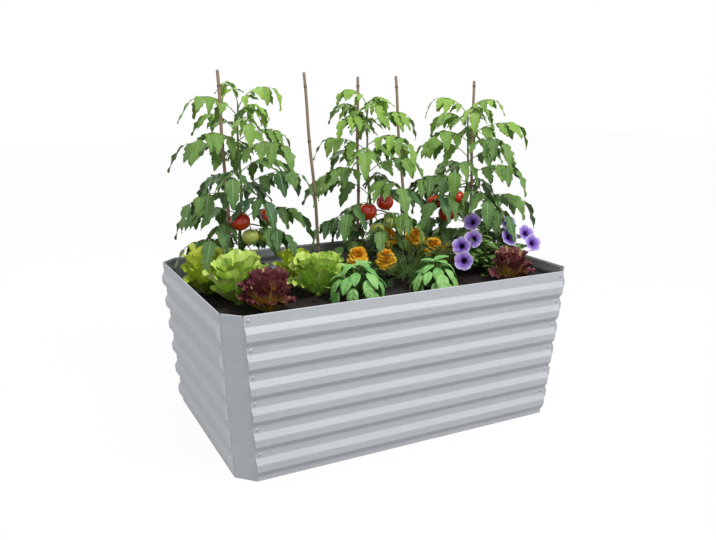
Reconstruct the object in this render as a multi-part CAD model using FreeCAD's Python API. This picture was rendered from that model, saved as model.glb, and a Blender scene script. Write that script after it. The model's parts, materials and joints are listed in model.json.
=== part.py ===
"""Raised garden bed: four ribbed steel walls bolted to four folded corner pieces, filled and planted.

The frame: +X along the bed to the right, +Y to the back, +Z up, millimetres.
The origin lies on the ground, under the middle of the bed.
"""
import FreeCAD, Part
import math
import os

Vector = FreeCAD.Vector
Placement = FreeCAD.Placement
Rotation = FreeCAD.Rotation
UP = Vector(0, 0, 1)
CENTRE = Vector(0, 0, 0)

# --- Bed: outside sizes at the rim, over the flat of the walls ---
BED_LENGTH = 1060.0
BED_WIDTH = 690.0
BED_HEIGHT = 450.0
WALL_FLARE = 30.0  # each wall's foot stands this far inside its rim
CORNER_LEG = 45.0  # the corner's slanted face takes this much off each side
SHEET = 0.8

# --- Ribs, sizes measured up the wall ---
RIB_COUNT = 6
RIB_TOP_BAND = 29.3
RIB_FOOT_BAND = 14.6
RIB_VALLEY = 20.4
RIB_SLOPE = 15.5
RIB_DEPTH = 9.5
BEND_RADIUS = 5.0

# --- Rolled rim ---
HEM_WIDTH = 2.4
HEM_DROP = 7.0

# --- Corner pieces ---
CORNER_FLANGE = 32.0
FOLD_RADIUS = 2.0
FOLD_GAP = 0.5  # from a wall's end to the corner fold

# --- Fasteners ---
SCREW_RADIUS = 2.5
SCREW_CLEARANCE = 0.25
SCREW_INSET = 11.0  # from the corner fold
SCREW_TOP_DROP = 13.0  # the highest screw, below the rim
HEAD_RADIUS = 4.9
HEAD_HEIGHT = 2.8
SOCKET_FLATS = 3.0
SOCKET_DEPTH = 1.6
NUT_FLATS = 8.0
NUT_HEIGHT = 4.0
NUT_CLEARANCE = 0.05
SCREW_SPARE = 2.0  # the shank stands this far out of its nut

# --- Soil and canes ---
SOIL_DEPTH = 380.0
SOIL_GAP = 0.3
CANE_RADIUS = 5.5
CANE_BURIED = 150.0
CANE_NODE_SPACING = 165.0
CANE_NODE_HEIGHT = 4.0
CANE_NODE_SWELL = 0.9
# foot on the soil (x, y), top (x, y, z)
CANES = [
    ((-360.0, 150.0), (-377.0, 150.0, 1016.0)),
    ((-47.0, 200.0), (-95.0, 200.0, 1013.0)),
    ((86.0, 200.0), (87.0, 200.0, 1001.0)),
    ((283.0, 200.0), (224.0, 200.0, 1004.0)),
    ((482.0, 122.0), (473.0, 120.0, 990.0)),
]

# --- Planting ---
TOUCH = 0.3  # a leaf, stalk or fruit stands this far off what holds it
BLADE = 1.6
GOLDEN_TURN = 137.5
STEM_FOOT_RADIUS = 6.5
STEM_TOP_RADIUS = 2.5
STALK_RADIUS = 1.6
CROWN_RADIUS = 14.0  # the stems of a low plant leave the soil this far from its middle

TOMATO_LEAVES = 15
TOMATO_LEAF = 190.0
TOMATO_LEAF_SHARES = (1.0, 0.86, 0.66)  # from the lowest leaves to the top ones
TOMATO_LEAF_PAIRS = 3
TOMATO_LEAFLET = (0.36, 0.21)  # length and width against the whole leaf
TOMATO_LOWEST_LEAF = 110.0
TOMATO_LOW_RISE = 22.0
TOMATO_TOP_RISE = 60.0
FRUIT_RADIUS = 30.0
# name, foot (x, y), top (x, y, z), spread against the usual leaf, fruit centres and sizes against the usual
TOMATOES = [
    ("left", (-327.0, 160.0), (-317.0, 160.0, 925.0), 1.0,
     [(-340.0, 110.0, 591.0, 1.0), (-250.0, 120.0, 601.0, 0.8),
      (-314.0, 95.0, 545.0, 0.85), (-266.0, 105.0, 540.0, 0.72)]),
    ("middle", (120.0, 160.0), (99.0, 160.0, 915.0), 0.92,
     [(78.0, 110.0, 589.0, 1.0), (143.0, 115.0, 613.0, 0.92),
      (104.0, 95.0, 532.0, 0.8), (158.0, 105.0, 548.0, 0.75)]),
    ("right", (474.0, 130.0), (462.0, 130.0, 895.0), 1.0,
     [(377.0, 110.0, 561.0, 1.0), (336.0, 125.0, 600.0, 0.85), (410.0, 100.0, 615.0, 0.8)]),
]

LETTUCE_OUTER_LEAVES = 7
LETTUCE_INNER_LEAVES = 5
LETTUCE_LEAF = 96.0
LETTUCE_HEART_LEAF = 120.0
LETTUCE_RISE = 26.0
LETTUCE_HEART_RISE = 58.0
LETTUCE_CORE_RADIUS = 16.0
LETTUCE_CORE_HEIGHT = 24.0
# name, middle on the soil, size against the usual
LETTUCES = [
    ("lettuce_left", (-432.0, 128.0), 0.97),
    ("lettuce_centre_left", (-389.0, -15.0), 1.0),
    ("lettuce_middle", (-156.0, -30.0), 0.92),
    ("lettuce_back", (-160.0, 150.0), 0.68),
    ("lettuce_back_right", (332.0, 155.0), 0.64),
    ("red_lettuce_left", (-345.0, -130.0), 0.96),
    ("red_lettuce_right", (428.0, -180.0), 0.9),
]

BASIL_TIERS = 3
BASIL_TIER_LEAVES = 4
BASIL_LEAF = 78.0
BASIL_HEIGHT = 92.0
BASIL_STEM_RADIUS = 3.0
BASIL_LOW_RISE = 22.0
BASIL_TIER_RISE = 14.0  # each tier rises this much more than the one below
BASILS = [
    ("basil_left", (-82.0, -138.0), 1.1),
    ("basil_right", (161.0, -165.0), 1.0),
]

MARIGOLD_RADIUS = 32.0
MARIGOLD_LEAF = 95.0
MARIGOLD_STEM_LEAVES = 3
MARIGOLD_LEAF_RISE = 30.0
MARIGOLD_ARCH = 0.28  # how high a stem bows, against its bloom's height
MARIGOLD_FOOT = (190.0, 60.0)
MARIGOLD_BLOOMS = [
    (155.0, 120.0, 494.0), (254.0, 110.0, 487.0), (14.0, 50.0, 457.0),
    (80.0, -10.0, 455.0), (293.0, 60.0, 459.0), (350.0, 50.0, 439.0),
]

PETUNIA_RADIUS = 27.0
PETUNIA_DEPTH = 34.0
PETUNIA_LEAF = 62.0
PETUNIA_STEM_LEAVES = 3
PETUNIA_LEAF_RISE = 25.0
PETUNIA_ARCH = 0.72  # the outer blooms hang over the rim
PETUNIA_FOOT = (446.0, -45.0)
PETUNIA_BLOOMS = [
    (412.0, 20.0, 539.0), (380.0, -30.0, 495.0), (323.0, -50.0, 481.0), (301.0, -100.0, 447.0),
    (518.0, -40.0, 490.0), (600.0, -25.0, 493.0), (590.0, -75.0, 470.0), (560.0, 20.0, 527.0),
]

FLAT_EDGE = 1e-6

# --- Worked out from the sizes above ---
RIM_X = BED_LENGTH / 2
RIM_Y = BED_WIDTH / 2
TOP_RADIUS = HEM_WIDTH / 2


def unit(vector):
    return vector * (1 / vector.Length)


def left_of(direction):
    return Vector(-direction.y, direction.x, 0)


def strip_side(corners, radii, offset):
    """One side of a bent strip: straight runs joined by arcs, beside the middle line by offset."""
    runs = [unit(b - a) for a, b in zip(corners, corners[1:])]
    last = corners[0] + left_of(runs[0]) * offset
    edges = []
    for corner, radius, before, after in zip(corners[1:-1], radii[1:-1], runs, runs[1:]):
        turn = math.atan2(before.cross(after).z, before.dot(after))
        side = math.copysign(1.0, turn)
        centre = corner - before * (radius * math.tan(abs(turn) / 2)) + left_of(before) * (radius * side)
        arc_radius = radius - offset * side
        start = centre - left_of(before) * (side * arc_radius)
        middle = centre + unit(corner - centre) * arc_radius
        end = centre - left_of(after) * (side * arc_radius)
        if (start - last).Length > FLAT_EDGE:
            edges.append(Part.LineSegment(last, start).toShape())
        edges.append(Part.Arc(start, middle, end).toShape())
        last = end
    finish = corners[-1] + left_of(runs[-1]) * offset
    edges.append(Part.LineSegment(last, finish).toShape())
    return edges


def bent_strip(path, thickness):
    """The cut edge of a bent sheet as a face; path lists (u, v, bend radius) of its middle line."""
    corners = [Vector(u, v, 0) for u, v, _ in path]
    radii = [radius for _, _, radius in path]
    one = strip_side(corners, radii, thickness / 2)
    other = strip_side(corners, radii, -thickness / 2)
    caps = [
        Part.LineSegment(one[0].Vertexes[0].Point, other[0].Vertexes[0].Point).toShape(),
        Part.LineSegment(one[-1].Vertexes[-1].Point, other[-1].Vertexes[-1].Point).toShape(),
    ]
    return Part.Face(Part.Wire(Part.__sortEdges__(one + other + caps)))


def lean_angle(flare):
    return math.atan2(flare, BED_HEIGHT)


def level(thickness, flare=WALL_FLARE):
    """A sheet's breadth measured level, through a wall that leans."""
    return thickness / math.cos(lean_angle(flare))


def wall_frame(outward, reach, flare):
    """A leaning wall's own frame at its foot: x out of the wall, y up the wall, z along it."""
    lean = lean_angle(flare)
    normal = outward * math.cos(lean) - UP * math.sin(lean)
    rise = outward * math.sin(lean) + UP * math.cos(lean)
    turned = Rotation(normal, rise, normal.cross(rise), "XYZ")
    return Placement(outward * (reach - flare), turned)


def slant_height(flare):
    return math.hypot(BED_HEIGHT, flare)


def hem_path(height, middle):
    """The rolled rim, from the lip of its inner leg to the wall's own line."""
    inner = middle - HEM_WIDTH
    return [
        (inner, height - HEM_DROP, 0),
        (inner, height - SHEET / 2, TOP_RADIUS),
        (middle, height - SHEET / 2, TOP_RADIUS),
    ]


def rib_height():
    ribbed = slant_height(WALL_FLARE) - RIB_TOP_BAND - RIB_FOOT_BAND
    return (ribbed - (RIB_COUNT - 1) * RIB_VALLEY) / RIB_COUNT


def rib_tops():
    pitch = rib_height() + RIB_VALLEY
    return [slant_height(WALL_FLARE) - RIB_TOP_BAND - i * pitch for i in range(RIB_COUNT)]


def rib_path(top):
    """The middle line of one rib's sheet, from its upper bend to its lower one."""
    middle = -SHEET / 2
    crest = middle + RIB_DEPTH
    foot = top - rib_height()
    return [
        (middle, top, BEND_RADIUS),
        (crest, top - RIB_SLOPE, BEND_RADIUS),
        (crest, foot + RIB_SLOPE, BEND_RADIUS),
        (middle, foot, BEND_RADIUS),
    ]


def wall_profile():
    middle = -SHEET / 2
    path = hem_path(slant_height(WALL_FLARE), middle)
    for top in rib_tops():
        path += rib_path(top)
    path.append((middle, -SHEET * 2, 0))
    return bent_strip(path, SHEET)


def rib_fillings():
    """What each rib's end wall covers: the rib's section inside the middle line of its sheet."""
    faces = []
    for top in rib_tops():
        path = rib_path(top)
        corners = [Vector(u, v, 0) for u, v, _ in path]
        arch = strip_side(corners, [radius for _, _, radius in path], 0)
        faces.append(Part.Face(Part.Wire(arch + [Part.LineSegment(corners[-1], corners[0]).toShape()])))
    return faces


def wall_screw_heights():
    """Up the wall: one screw in the band under the rim and one in each valley between ribs."""
    valleys = [top + RIB_VALLEY / 2 for top in rib_tops()[1:]]
    return [slant_height(WALL_FLARE) - SCREW_TOP_DROP] + valleys


# outward direction, distance of the rim from the middle, half the rim's run between corner folds
WALLS = {
    "front": (Vector(0, -1, 0), RIM_Y, RIM_X - CORNER_LEG),
    "back": (Vector(0, 1, 0), RIM_Y, RIM_X - CORNER_LEG),
    "left": (Vector(-1, 0, 0), RIM_X, RIM_Y - CORNER_LEG),
    "right": (Vector(1, 0, 0), RIM_X, RIM_Y - CORNER_LEG),
}
PANEL_NODES = {
    "front": "front_panel",
    "back": "back_panel",
    "left": "left_end_panel",
    "right": "right_end_panel",
}


def screw_places(wall):
    """The frame of each screw of a wall: x out of the wall, origin on its outer face."""
    outward, reach, half_run = WALLS[wall]
    frame = wall_frame(outward, reach, WALL_FLARE)
    places = []
    for height in wall_screw_heights():
        drawn_in = WALL_FLARE * (1 - height / slant_height(WALL_FLARE))
        along = half_run - drawn_in - SCREW_INSET
        places += [frame.multiply(Placement(Vector(0, height, s * along), Rotation())) for s in (-1, 1)]
    return places


def drilled(shape, places, radius, depth):
    """Round holes along each place's x axis, from just outside the wall to depth inside it."""
    drill = Part.makeCylinder(radius, depth + HEAD_HEIGHT, Vector(HEAD_HEIGHT, 0, 0), Vector(-1, 0, 0))
    return shape.cut([placed(drill, place) for place in places])


def wall_run(wall, shorter):
    """A block between a wall's slanted ends, shorter than the wall by the same bit at each end."""
    outward, reach, half_run = WALLS[wall]
    along = outward.cross(UP)
    over = RIB_DEPTH
    corners = []
    for height, side in ((0, -1), (0, 1), (BED_HEIGHT + over, 1), (BED_HEIGHT + over, -1)):
        half = half_run - FOLD_GAP - shorter + WALL_FLARE * (height / BED_HEIGHT - 1)
        corners.append(along * (side * half) + UP * height + outward * (reach - WALL_FLARE - over))
    return Part.Face(Part.makePolygon(corners + corners[:1])).extrude(outward * (WALL_FLARE + 3 * over))


def wall_panel(wall):
    """The bent sheet, with an end wall in each rib where the press closed it."""
    outward, reach, half_run = WALLS[wall]
    frame = wall_frame(outward, reach, WALL_FLARE)
    shapes = []
    for face in [wall_profile()] + rib_fillings():
        shape = face.extrude(Vector(0, 0, 2 * half_run))
        shape.translate(Vector(0, 0, -half_run))
        shapes.append(placed(shape, frame))
    whole = wall_run(wall, 0)
    sheet = shapes[0].common(whole)
    ends = Part.makeCompound(shapes[1:]).common(whole).cut(wall_run(wall, SHEET))
    panel = sheet.fuse(ends.Solids).removeSplitter()
    return drilled(panel, screw_places(wall), SCREW_RADIUS + SCREW_CLEARANCE, SHEET + HEM_WIDTH)


def corner_sign(name):
    return (1 if "right" in name else -1), (1 if "back" in name else -1)


def corner_piece(name):
    """A folded strip: the slanted face and two flanges that lie inside the walls and up in their hems."""
    side_x, side_y = corner_sign(name)
    inset = level(SHEET) + level(SHEET) / 2
    x_wall = RIM_X - WALL_FLARE - inset
    y_wall = RIM_Y - WALL_FLARE - inset
    fold = CORNER_LEG - inset + inset * (math.sqrt(2) - 1)
    plan = [
        (x_wall, y_wall - fold - CORNER_FLANGE, 0),
        (x_wall, y_wall - fold, FOLD_RADIUS),
        (x_wall - fold, y_wall, FOLD_RADIUS),
        (x_wall - fold - CORNER_FLANGE, y_wall, 0),
    ]
    strip_height = BED_HEIGHT - HEM_DROP / 2
    rise = Vector(WALL_FLARE, WALL_FLARE, BED_HEIGHT) * (strip_height / BED_HEIGHT)
    strip = bent_strip(plan, level(SHEET)).extrude(rise)

    # the slanted face's own rolled rim
    outward = Vector(1, 1, 0) * math.sqrt(0.5)
    face_flare = WALL_FLARE * math.sqrt(2)
    reach = (RIM_X + RIM_Y - CORNER_LEG) * math.sqrt(0.5)
    frame = wall_frame(outward, reach, face_flare)
    height = slant_height(face_flare)
    path = hem_path(height, -level(SHEET) * 1.5)
    path.append((-level(SHEET) * 1.5, height - HEM_DROP, 0))
    half = CORNER_LEG * math.sqrt(0.5) - 2 * FOLD_RADIUS
    hem = bent_strip(path, SHEET).extrude(Vector(0, 0, 2 * half))
    # along the face, its middle stands where the two sides' difference puts it
    middle = (RIM_Y - RIM_X) * math.sqrt(0.5)
    hem.translate(Vector(0, 0, middle * along_sign(frame) - half))
    hem.Placement = frame.multiply(hem.Placement)
    piece = strip.fuse(hem).removeSplitter()
    if side_x < 0:
        piece = piece.mirror(CENTRE, Vector(1, 0, 0))
    if side_y < 0:
        piece = piece.mirror(CENTRE, Vector(0, 1, 0))
    places = [place for wall in WALLS for place in screw_places(wall) if corner_of(place) == name]
    return drilled(piece, places, SCREW_RADIUS + SCREW_CLEARANCE, 3 * SHEET + HEM_WIDTH)


def along_sign(frame):
    """Whether the wall frame's z axis runs towards the back-left or the front-right."""
    axis = frame.Rotation.multVec(Vector(0, 0, 1))
    return 1 if axis.y > axis.x else -1


def corner_of(place):
    row = "front" if place.Base.y < 0 else "back"
    side = "left" if place.Base.x < 0 else "right"
    return f"{row}_{side}"


def hexagon(flats, start, height):
    """A six-sided bar along +X from start."""
    radius = flats / math.sqrt(3)
    points = [
        Vector(start, radius * math.cos(math.radians(60 * i)), radius * math.sin(math.radians(60 * i)))
        for i in range(7)
    ]
    return Part.Face(Part.makePolygon(points)).extrude(Vector(height, 0, 0))


def screw():
    """A dome-headed socket screw along its wall's x axis, its head's seat at x = 0."""
    dome_radius = (HEAD_RADIUS ** 2 + HEAD_HEIGHT ** 2) / (2 * HEAD_HEIGHT)
    dome = Part.makeSphere(dome_radius, Vector(HEAD_HEIGHT - dome_radius, 0, 0))
    head = Part.makeCylinder(HEAD_RADIUS, HEAD_HEIGHT, CENTRE, Vector(1, 0, 0)).common(dome)
    head = head.cut(hexagon(SOCKET_FLATS, HEAD_HEIGHT - SOCKET_DEPTH, SOCKET_DEPTH))
    grip = 2 * SHEET + NUT_HEIGHT + SCREW_SPARE
    shank = Part.makeCylinder(SCREW_RADIUS, grip, CENTRE, Vector(-1, 0, 0))
    return head.fuse(shank).removeSplitter()


def nut():
    seat = -2 * SHEET
    body = hexagon(NUT_FLATS, seat - NUT_HEIGHT, NUT_HEIGHT)
    bore = Part.makeCylinder(SCREW_RADIUS + NUT_CLEARANCE, NUT_HEIGHT + 2, Vector(seat + 1, 0, 0), Vector(-1, 0, 0))
    return body.cut(bore)


def placed(shape, place):
    copy = shape.copy()
    copy.Placement = place.multiply(copy.Placement)
    return copy


def soil_ring(height):
    """The filling's corners at one height, going round the bed."""
    inward = WALL_FLARE * (1 - height / BED_HEIGHT) + 2 * level(SHEET) + SOIL_GAP
    half_x = RIM_X - inward
    half_y = RIM_Y - inward
    leg = CORNER_LEG + SOIL_GAP
    ring = [
        (half_x, half_y - leg), (half_x - leg, half_y), (leg - half_x, half_y), (-half_x, half_y - leg),
        (-half_x, leg - half_y), (leg - half_x, -half_y), (half_x - leg, -half_y), (half_x, leg - half_y),
    ]
    return [Vector(x, y, height) for x, y in ring]


def soil_bed():
    """The filling: it stands on the ground inside the walls, with room for nuts and canes."""
    low = soil_ring(0)
    high = soil_ring(SOIL_DEPTH)
    sides = [[low[i - 1], low[i], high[i], high[i - 1]] for i in range(len(low))]
    faces = [Part.Face(Part.makePolygon(points + points[:1])) for points in [low, high] + sides]
    soil = Part.Solid(Part.Shell(faces))
    pocket = NUT_FLATS / math.sqrt(3) + TOUCH
    depth = 2 * SHEET + NUT_HEIGHT + SCREW_SPARE + TOUCH
    soil = drilled(soil, [place for wall in WALLS for place in screw_places(wall)], pocket, depth)
    holes = []
    for foot, top in CANES:
        start, axis = cane_line(foot, top)
        length = CANE_BURIED + 2 * CANE_RADIUS
        holes.append(Part.makeCylinder(CANE_RADIUS + CANE_NODE_SWELL + SOIL_GAP, length, start, axis))
    return soil.cut(holes)


def cane_line(foot, top):
    """A cane's lower end in the soil and its direction."""
    at_soil = Vector(foot[0], foot[1], SOIL_DEPTH)
    axis = unit(Vector(*top) - at_soil)
    return at_soil - axis * CANE_BURIED, axis


def cane(foot, top):
    """A bamboo cane: a straight culm with a swollen ring at each node."""
    start, axis = cane_line(foot, top)
    length = (Vector(*top) - start).Length
    culm = Part.makeCylinder(CANE_RADIUS, length, start, axis)
    count = int(length / CANE_NODE_SPACING)
    for i in range(1, count + 1):
        ring = start + axis * (i * CANE_NODE_SPACING - CANE_NODE_SPACING / 2)
        culm = culm.fuse(Part.makeCylinder(CANE_RADIUS + CANE_NODE_SWELL, CANE_NODE_HEIGHT, ring, axis))
    return culm.removeSplitter()


def limb(points, radii):
    """A stem: tapered runs from point to point, with a ball in each bend."""
    shape = None
    for start, end, thick, thin in zip(points, points[1:], radii, radii[1:]):
        run = end - start
        if abs(thick - thin) < FLAT_EDGE:
            piece = Part.makeCylinder(thick, run.Length, start, run)
        else:
            piece = Part.makeCone(thick, thin, run.Length, start, run)
        shape = piece if shape is None else shape.fuse(piece)
    for joint, radius in zip(points[1:-1], radii[1:-1]):
        shape = shape.fuse(Part.makeSphere(radius, joint))
    return shape


def pointed_oval(length, width, start=0.0, turn=0.0, side=0.0):
    """A blade's outline: two arcs that meet in a point, from start along +X and turned to the side."""
    tip = Vector(length, 0, 0)
    arcs = [Part.Arc(CENTRE, Vector(length * 0.45, s * width / 2, 0), tip).toShape() for s in (1, -1)]
    face = Part.Face(Part.Wire(arcs))
    face.Placement = Placement(Vector(start, side, 0), Rotation(UP, turn))
    return face


def strip_face(start, length, width):
    points = [
        Vector(start, -width / 2, 0), Vector(start + length, -width / 2, 0),
        Vector(start + length, width / 2, 0), Vector(start, width / 2, 0),
    ]
    return Part.Face(Part.makePolygon(points + points[:1]))


def scalloped_fan(length, width, lobes):
    """A broad leaf's outline: a narrow foot that opens into a round, scalloped edge."""
    foot = width * 0.14
    radius = width / 2
    centre = Vector(length - radius, 0, 0)
    sweep = math.radians(115)
    angles = [sweep * (2 * i / lobes - 1) for i in range(lobes + 1)]
    rim = [centre + Vector(math.cos(a), math.sin(a), 0) * radius for a in angles]
    edges = [Part.LineSegment(Vector(0, -foot, 0), rim[0]).toShape()]
    for a, b, start, end in zip(angles, angles[1:], rim, rim[1:]):
        bulge = centre + Vector(math.cos((a + b) / 2), math.sin((a + b) / 2), 0) * (radius * 1.1)
        edges.append(Part.Arc(start, bulge, end).toShape())
    edges.append(Part.LineSegment(rim[-1], Vector(0, foot, 0)).toShape())
    edges.append(Part.LineSegment(Vector(0, foot, 0), Vector(0, -foot, 0)).toShape())
    return Part.Face(Part.Wire(edges))


def arched(outlines, bend):
    """Bends flat outlines into one leaf that droops along a round of the given radius."""
    prisms = [face.extrude(Vector(0, 0, -bend)) for face in outlines]
    prism = prisms[0].fuse(prisms[1:]).removeSplitter() if len(prisms) > 1 else prisms[0]
    breadth = prism.BoundBox.YLength + 2 * BLADE
    axis_start = Vector(0, -breadth / 2, -bend)
    shell = Part.makeCylinder(bend, breadth, axis_start, Vector(0, 1, 0))
    shell = shell.cut(Part.makeCylinder(bend - BLADE, breadth, axis_start, Vector(0, 1, 0)))
    return prism.common(shell)


def pinnate_leaf(length, pairs, leaflet, width):
    """A divided leaf: paired leaflets along a narrow midrib and one at the tip."""
    outlines = [strip_face(0, length * 0.75, max(length * 0.02, 2 * BLADE))]
    for i in range(pairs):
        at = length * (0.24 + 0.46 * i / max(pairs - 1, 1))
        size = leaflet * (0.85 + 0.15 * math.sin(math.pi * i / pairs))
        for turn in (58, -58):
            outlines.append(pointed_oval(size, width * size / leaflet, at, turn))
    outlines.append(pointed_oval(leaflet * 1.15, width * 1.1, length - leaflet * 1.15))
    return arched(outlines, length * 1.05)


def oval_leaf(length, width):
    stalk = length * 0.2
    outlines = [strip_face(0, stalk * 1.4, 2 * BLADE), pointed_oval(length - stalk, width, stalk)]
    return arched(outlines, length * 1.1)


def lettuce_leaf(length):
    """A broad leaf that curls upwards, its hollow side up."""
    leaf = arched([scalloped_fan(length, length * 0.86, 7)], length * 1.15)
    leaf.rotate(CENTRE, Vector(1, 0, 0), 180)
    return leaf


def set_leaf(leaf, at, heading, rise, off):
    """Sets a leaf on its stem: its heading round the stem and its rise, in degrees."""
    facing = Rotation(UP, heading)
    out = facing.multVec(Vector(1, 0, 0))
    return placed(leaf, Placement(at + out * off, facing.multiply(Rotation(Vector(0, -1, 0), rise))))


def tomato_line(foot, top):
    return Vector(foot[0], foot[1], SOIL_DEPTH), Vector(*top)


def tomato_stem(foot, top, fruit):
    """The stem and the short stalks that the fruit hang from."""
    low, high = tomato_line(foot, top)
    stem = limb([low, high], [STEM_FOOT_RADIUS, STEM_TOP_RADIUS])
    for x, y, z, size in fruit:
        end = Vector(x, y, z + FRUIT_RADIUS * size + TOUCH)
        bow = end + UP * FRUIT_RADIUS * 0.8
        root = low + (high - low) * ((bow.z - low.z) / (high.z - low.z))
        stem = stem.fuse(limb([root, bow, end], [STALK_RADIUS] * 3))
    return stem.removeSplitter()


def tomato_foliage(foot, top, spread):
    low, high = tomato_line(foot, top)
    lowest = TOMATO_LOWEST_LEAF / (high.z - low.z)
    leaflet_length, leaflet_width = TOMATO_LEAFLET
    leaves = []
    shapes = []
    for share in TOMATO_LEAF_SHARES:
        length = TOMATO_LEAF * spread * share
        shapes.append(pinnate_leaf(length, TOMATO_LEAF_PAIRS, length * leaflet_length, length * leaflet_width))
    for i in range(TOMATO_LEAVES):
        part_way = lowest + (1 - lowest) * i / (TOMATO_LEAVES - 1)
        at = low + (high - low) * part_way
        radius = STEM_FOOT_RADIUS + (STEM_TOP_RADIUS - STEM_FOOT_RADIUS) * part_way
        leaf = shapes[min(len(shapes) - 1, int(part_way * len(shapes)))]
        rise = TOMATO_LOW_RISE + (TOMATO_TOP_RISE - TOMATO_LOW_RISE) * part_way
        leaves.append(set_leaf(leaf, at, 90 + i * GOLDEN_TURN, rise, radius + TOUCH))
    return leaves


def fruit_of(fruit):
    return [Part.makeSphere(FRUIT_RADIUS * size, Vector(x, y, z)) for x, y, z, size in fruit]


def lettuce(middle, size):
    """A loose head: a low core, a ring of spread leaves and a ring of upright ones."""
    at = Vector(middle[0], middle[1], SOIL_DEPTH)
    core_radius = LETTUCE_CORE_RADIUS * size
    core_height = LETTUCE_CORE_HEIGHT * size
    solids = [Part.makeCone(core_radius, core_radius * 0.8, core_height, at, UP)]
    outer = lettuce_leaf(LETTUCE_LEAF * size)
    inner = lettuce_leaf(LETTUCE_HEART_LEAF * size)
    for i in range(LETTUCE_OUTER_LEAVES):
        heading = 360 * i / LETTUCE_OUTER_LEAVES
        solids.append(set_leaf(outer, at + UP * (core_height * 0.35), heading, LETTUCE_RISE, core_radius))
    for i in range(LETTUCE_INNER_LEAVES):
        heading = 360 * (i + 0.5) / LETTUCE_INNER_LEAVES
        solids.append(set_leaf(inner, at + UP * (core_height * 0.9), heading, LETTUCE_HEART_RISE, core_radius * 0.84))
    return solids


def basil(middle, size):
    """A leafy herb: one stem with tiers of oval leaves."""
    at = Vector(middle[0], middle[1], SOIL_DEPTH)
    solids = [limb([at, at + UP * BASIL_HEIGHT * size], [BASIL_STEM_RADIUS, BASIL_STEM_RADIUS * 0.6])]
    for tier in range(BASIL_TIERS):
        length = BASIL_LEAF * size * (1 - 0.16 * tier)
        leaf = oval_leaf(length, length * 0.56)
        height = BASIL_HEIGHT * size * (0.3 + 0.34 * tier)
        for i in range(BASIL_TIER_LEAVES):
            heading = 360 * (i + tier / 2) / BASIL_TIER_LEAVES + 20
            radius = BASIL_STEM_RADIUS * (1 - 0.4 * height / (BASIL_HEIGHT * size))
            rise = BASIL_LOW_RISE + BASIL_TIER_RISE * tier
            solids.append(set_leaf(leaf, at + UP * height, heading, rise, radius + TOUCH))
    return solids


def flower_stems(foot, blooms, gap, arch):
    """Stems that leave the soil side by side and arch over to each bloom; each ends just under it."""
    middle = Vector(foot[0], foot[1], SOIL_DEPTH)
    stems = []
    for x, y, z in blooms:
        end = Vector(x, y, z - gap)
        heading = unit(Vector(x, y, SOIL_DEPTH) - middle)
        root = middle + heading * CROWN_RADIUS
        bow = root + (end - root) * 0.4 + UP * ((end.z - root.z) * arch)
        stems.append([root, bow, end])
    return stems


def along_stem(points, part_way):
    """A point on a bowed stem, part_way from its root to its bloom."""
    root, bow, end = points
    if part_way < 0.5:
        return root + (bow - root) * (part_way * 2)
    return bow + (end - bow) * (part_way * 2 - 1)


def bush(foot, blooms, gap, arch, leaf, stem_leaves, rise):
    """A stem to each bloom, and leaves set along each stem."""
    solids = []
    for number, points in enumerate(flower_stems(foot, blooms, gap, arch)):
        solids.append(limb(points, [STALK_RADIUS * 1.4, STALK_RADIUS * 1.2, STALK_RADIUS]))
        for i in range(stem_leaves):
            at = along_stem(points, 0.42 + 0.46 * i / stem_leaves)
            heading = number * 40 + i * GOLDEN_TURN
            solids.append(set_leaf(leaf, at, heading, rise, STALK_RADIUS * 1.2 + TOUCH))
    return solids


def marigold_bloom(x, y, z):
    """A full round bloom: a short cup under a domed head of petals."""
    cup_height = MARIGOLD_RADIUS * 0.55
    crown = MARIGOLD_RADIUS * 0.8
    at = Vector(x, y, z)
    cup = Part.makeCone(MARIGOLD_RADIUS * 0.32, MARIGOLD_RADIUS, cup_height, at - UP * cup_height, UP)
    dome_radius = (MARIGOLD_RADIUS ** 2 + crown ** 2) / (2 * crown)
    dome = Part.makeSphere(dome_radius, at + UP * (crown - dome_radius))
    head = Part.makeCylinder(MARIGOLD_RADIUS, crown, at, UP).common(dome)
    return head.fuse(cup)


def petunia_bloom(x, y, z):
    """A trumpet: a narrow tube that opens into a wide, nearly flat mouth, facing up and out."""
    throat = PETUNIA_RADIUS * 0.16
    lip = 2.0
    edges_at = [
        (0, -PETUNIA_DEPTH), (throat, -PETUNIA_DEPTH), (throat * 1.8, -PETUNIA_DEPTH * 0.35),
        (PETUNIA_RADIUS, -lip), (PETUNIA_RADIUS, 0), (throat, -lip * 2), (0, -lip * 3),
    ]
    points = [Vector(r, 0, h) for r, h in edges_at]
    bloom = Part.Face(Part.makePolygon(points + points[:1])).revolve(CENTRE, UP, 360)
    out = Vector(x - PETUNIA_FOOT[0], y - PETUNIA_FOOT[1], 0)
    facing = unit(unit(out) + Vector(-0.35, -0.7, 0.55))
    bloom.Placement = Placement(Vector(x, y, z), Rotation(UP, facing))
    return bloom


def petunia_stem_end(x, y, z):
    """Where a bloom's stem meets the back of its tube."""
    bloom = petunia_bloom(x, y, z)
    back = bloom.Placement.multVec(Vector(0, 0, -PETUNIA_DEPTH - TOUCH))
    return back.x, back.y, back.z


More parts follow.
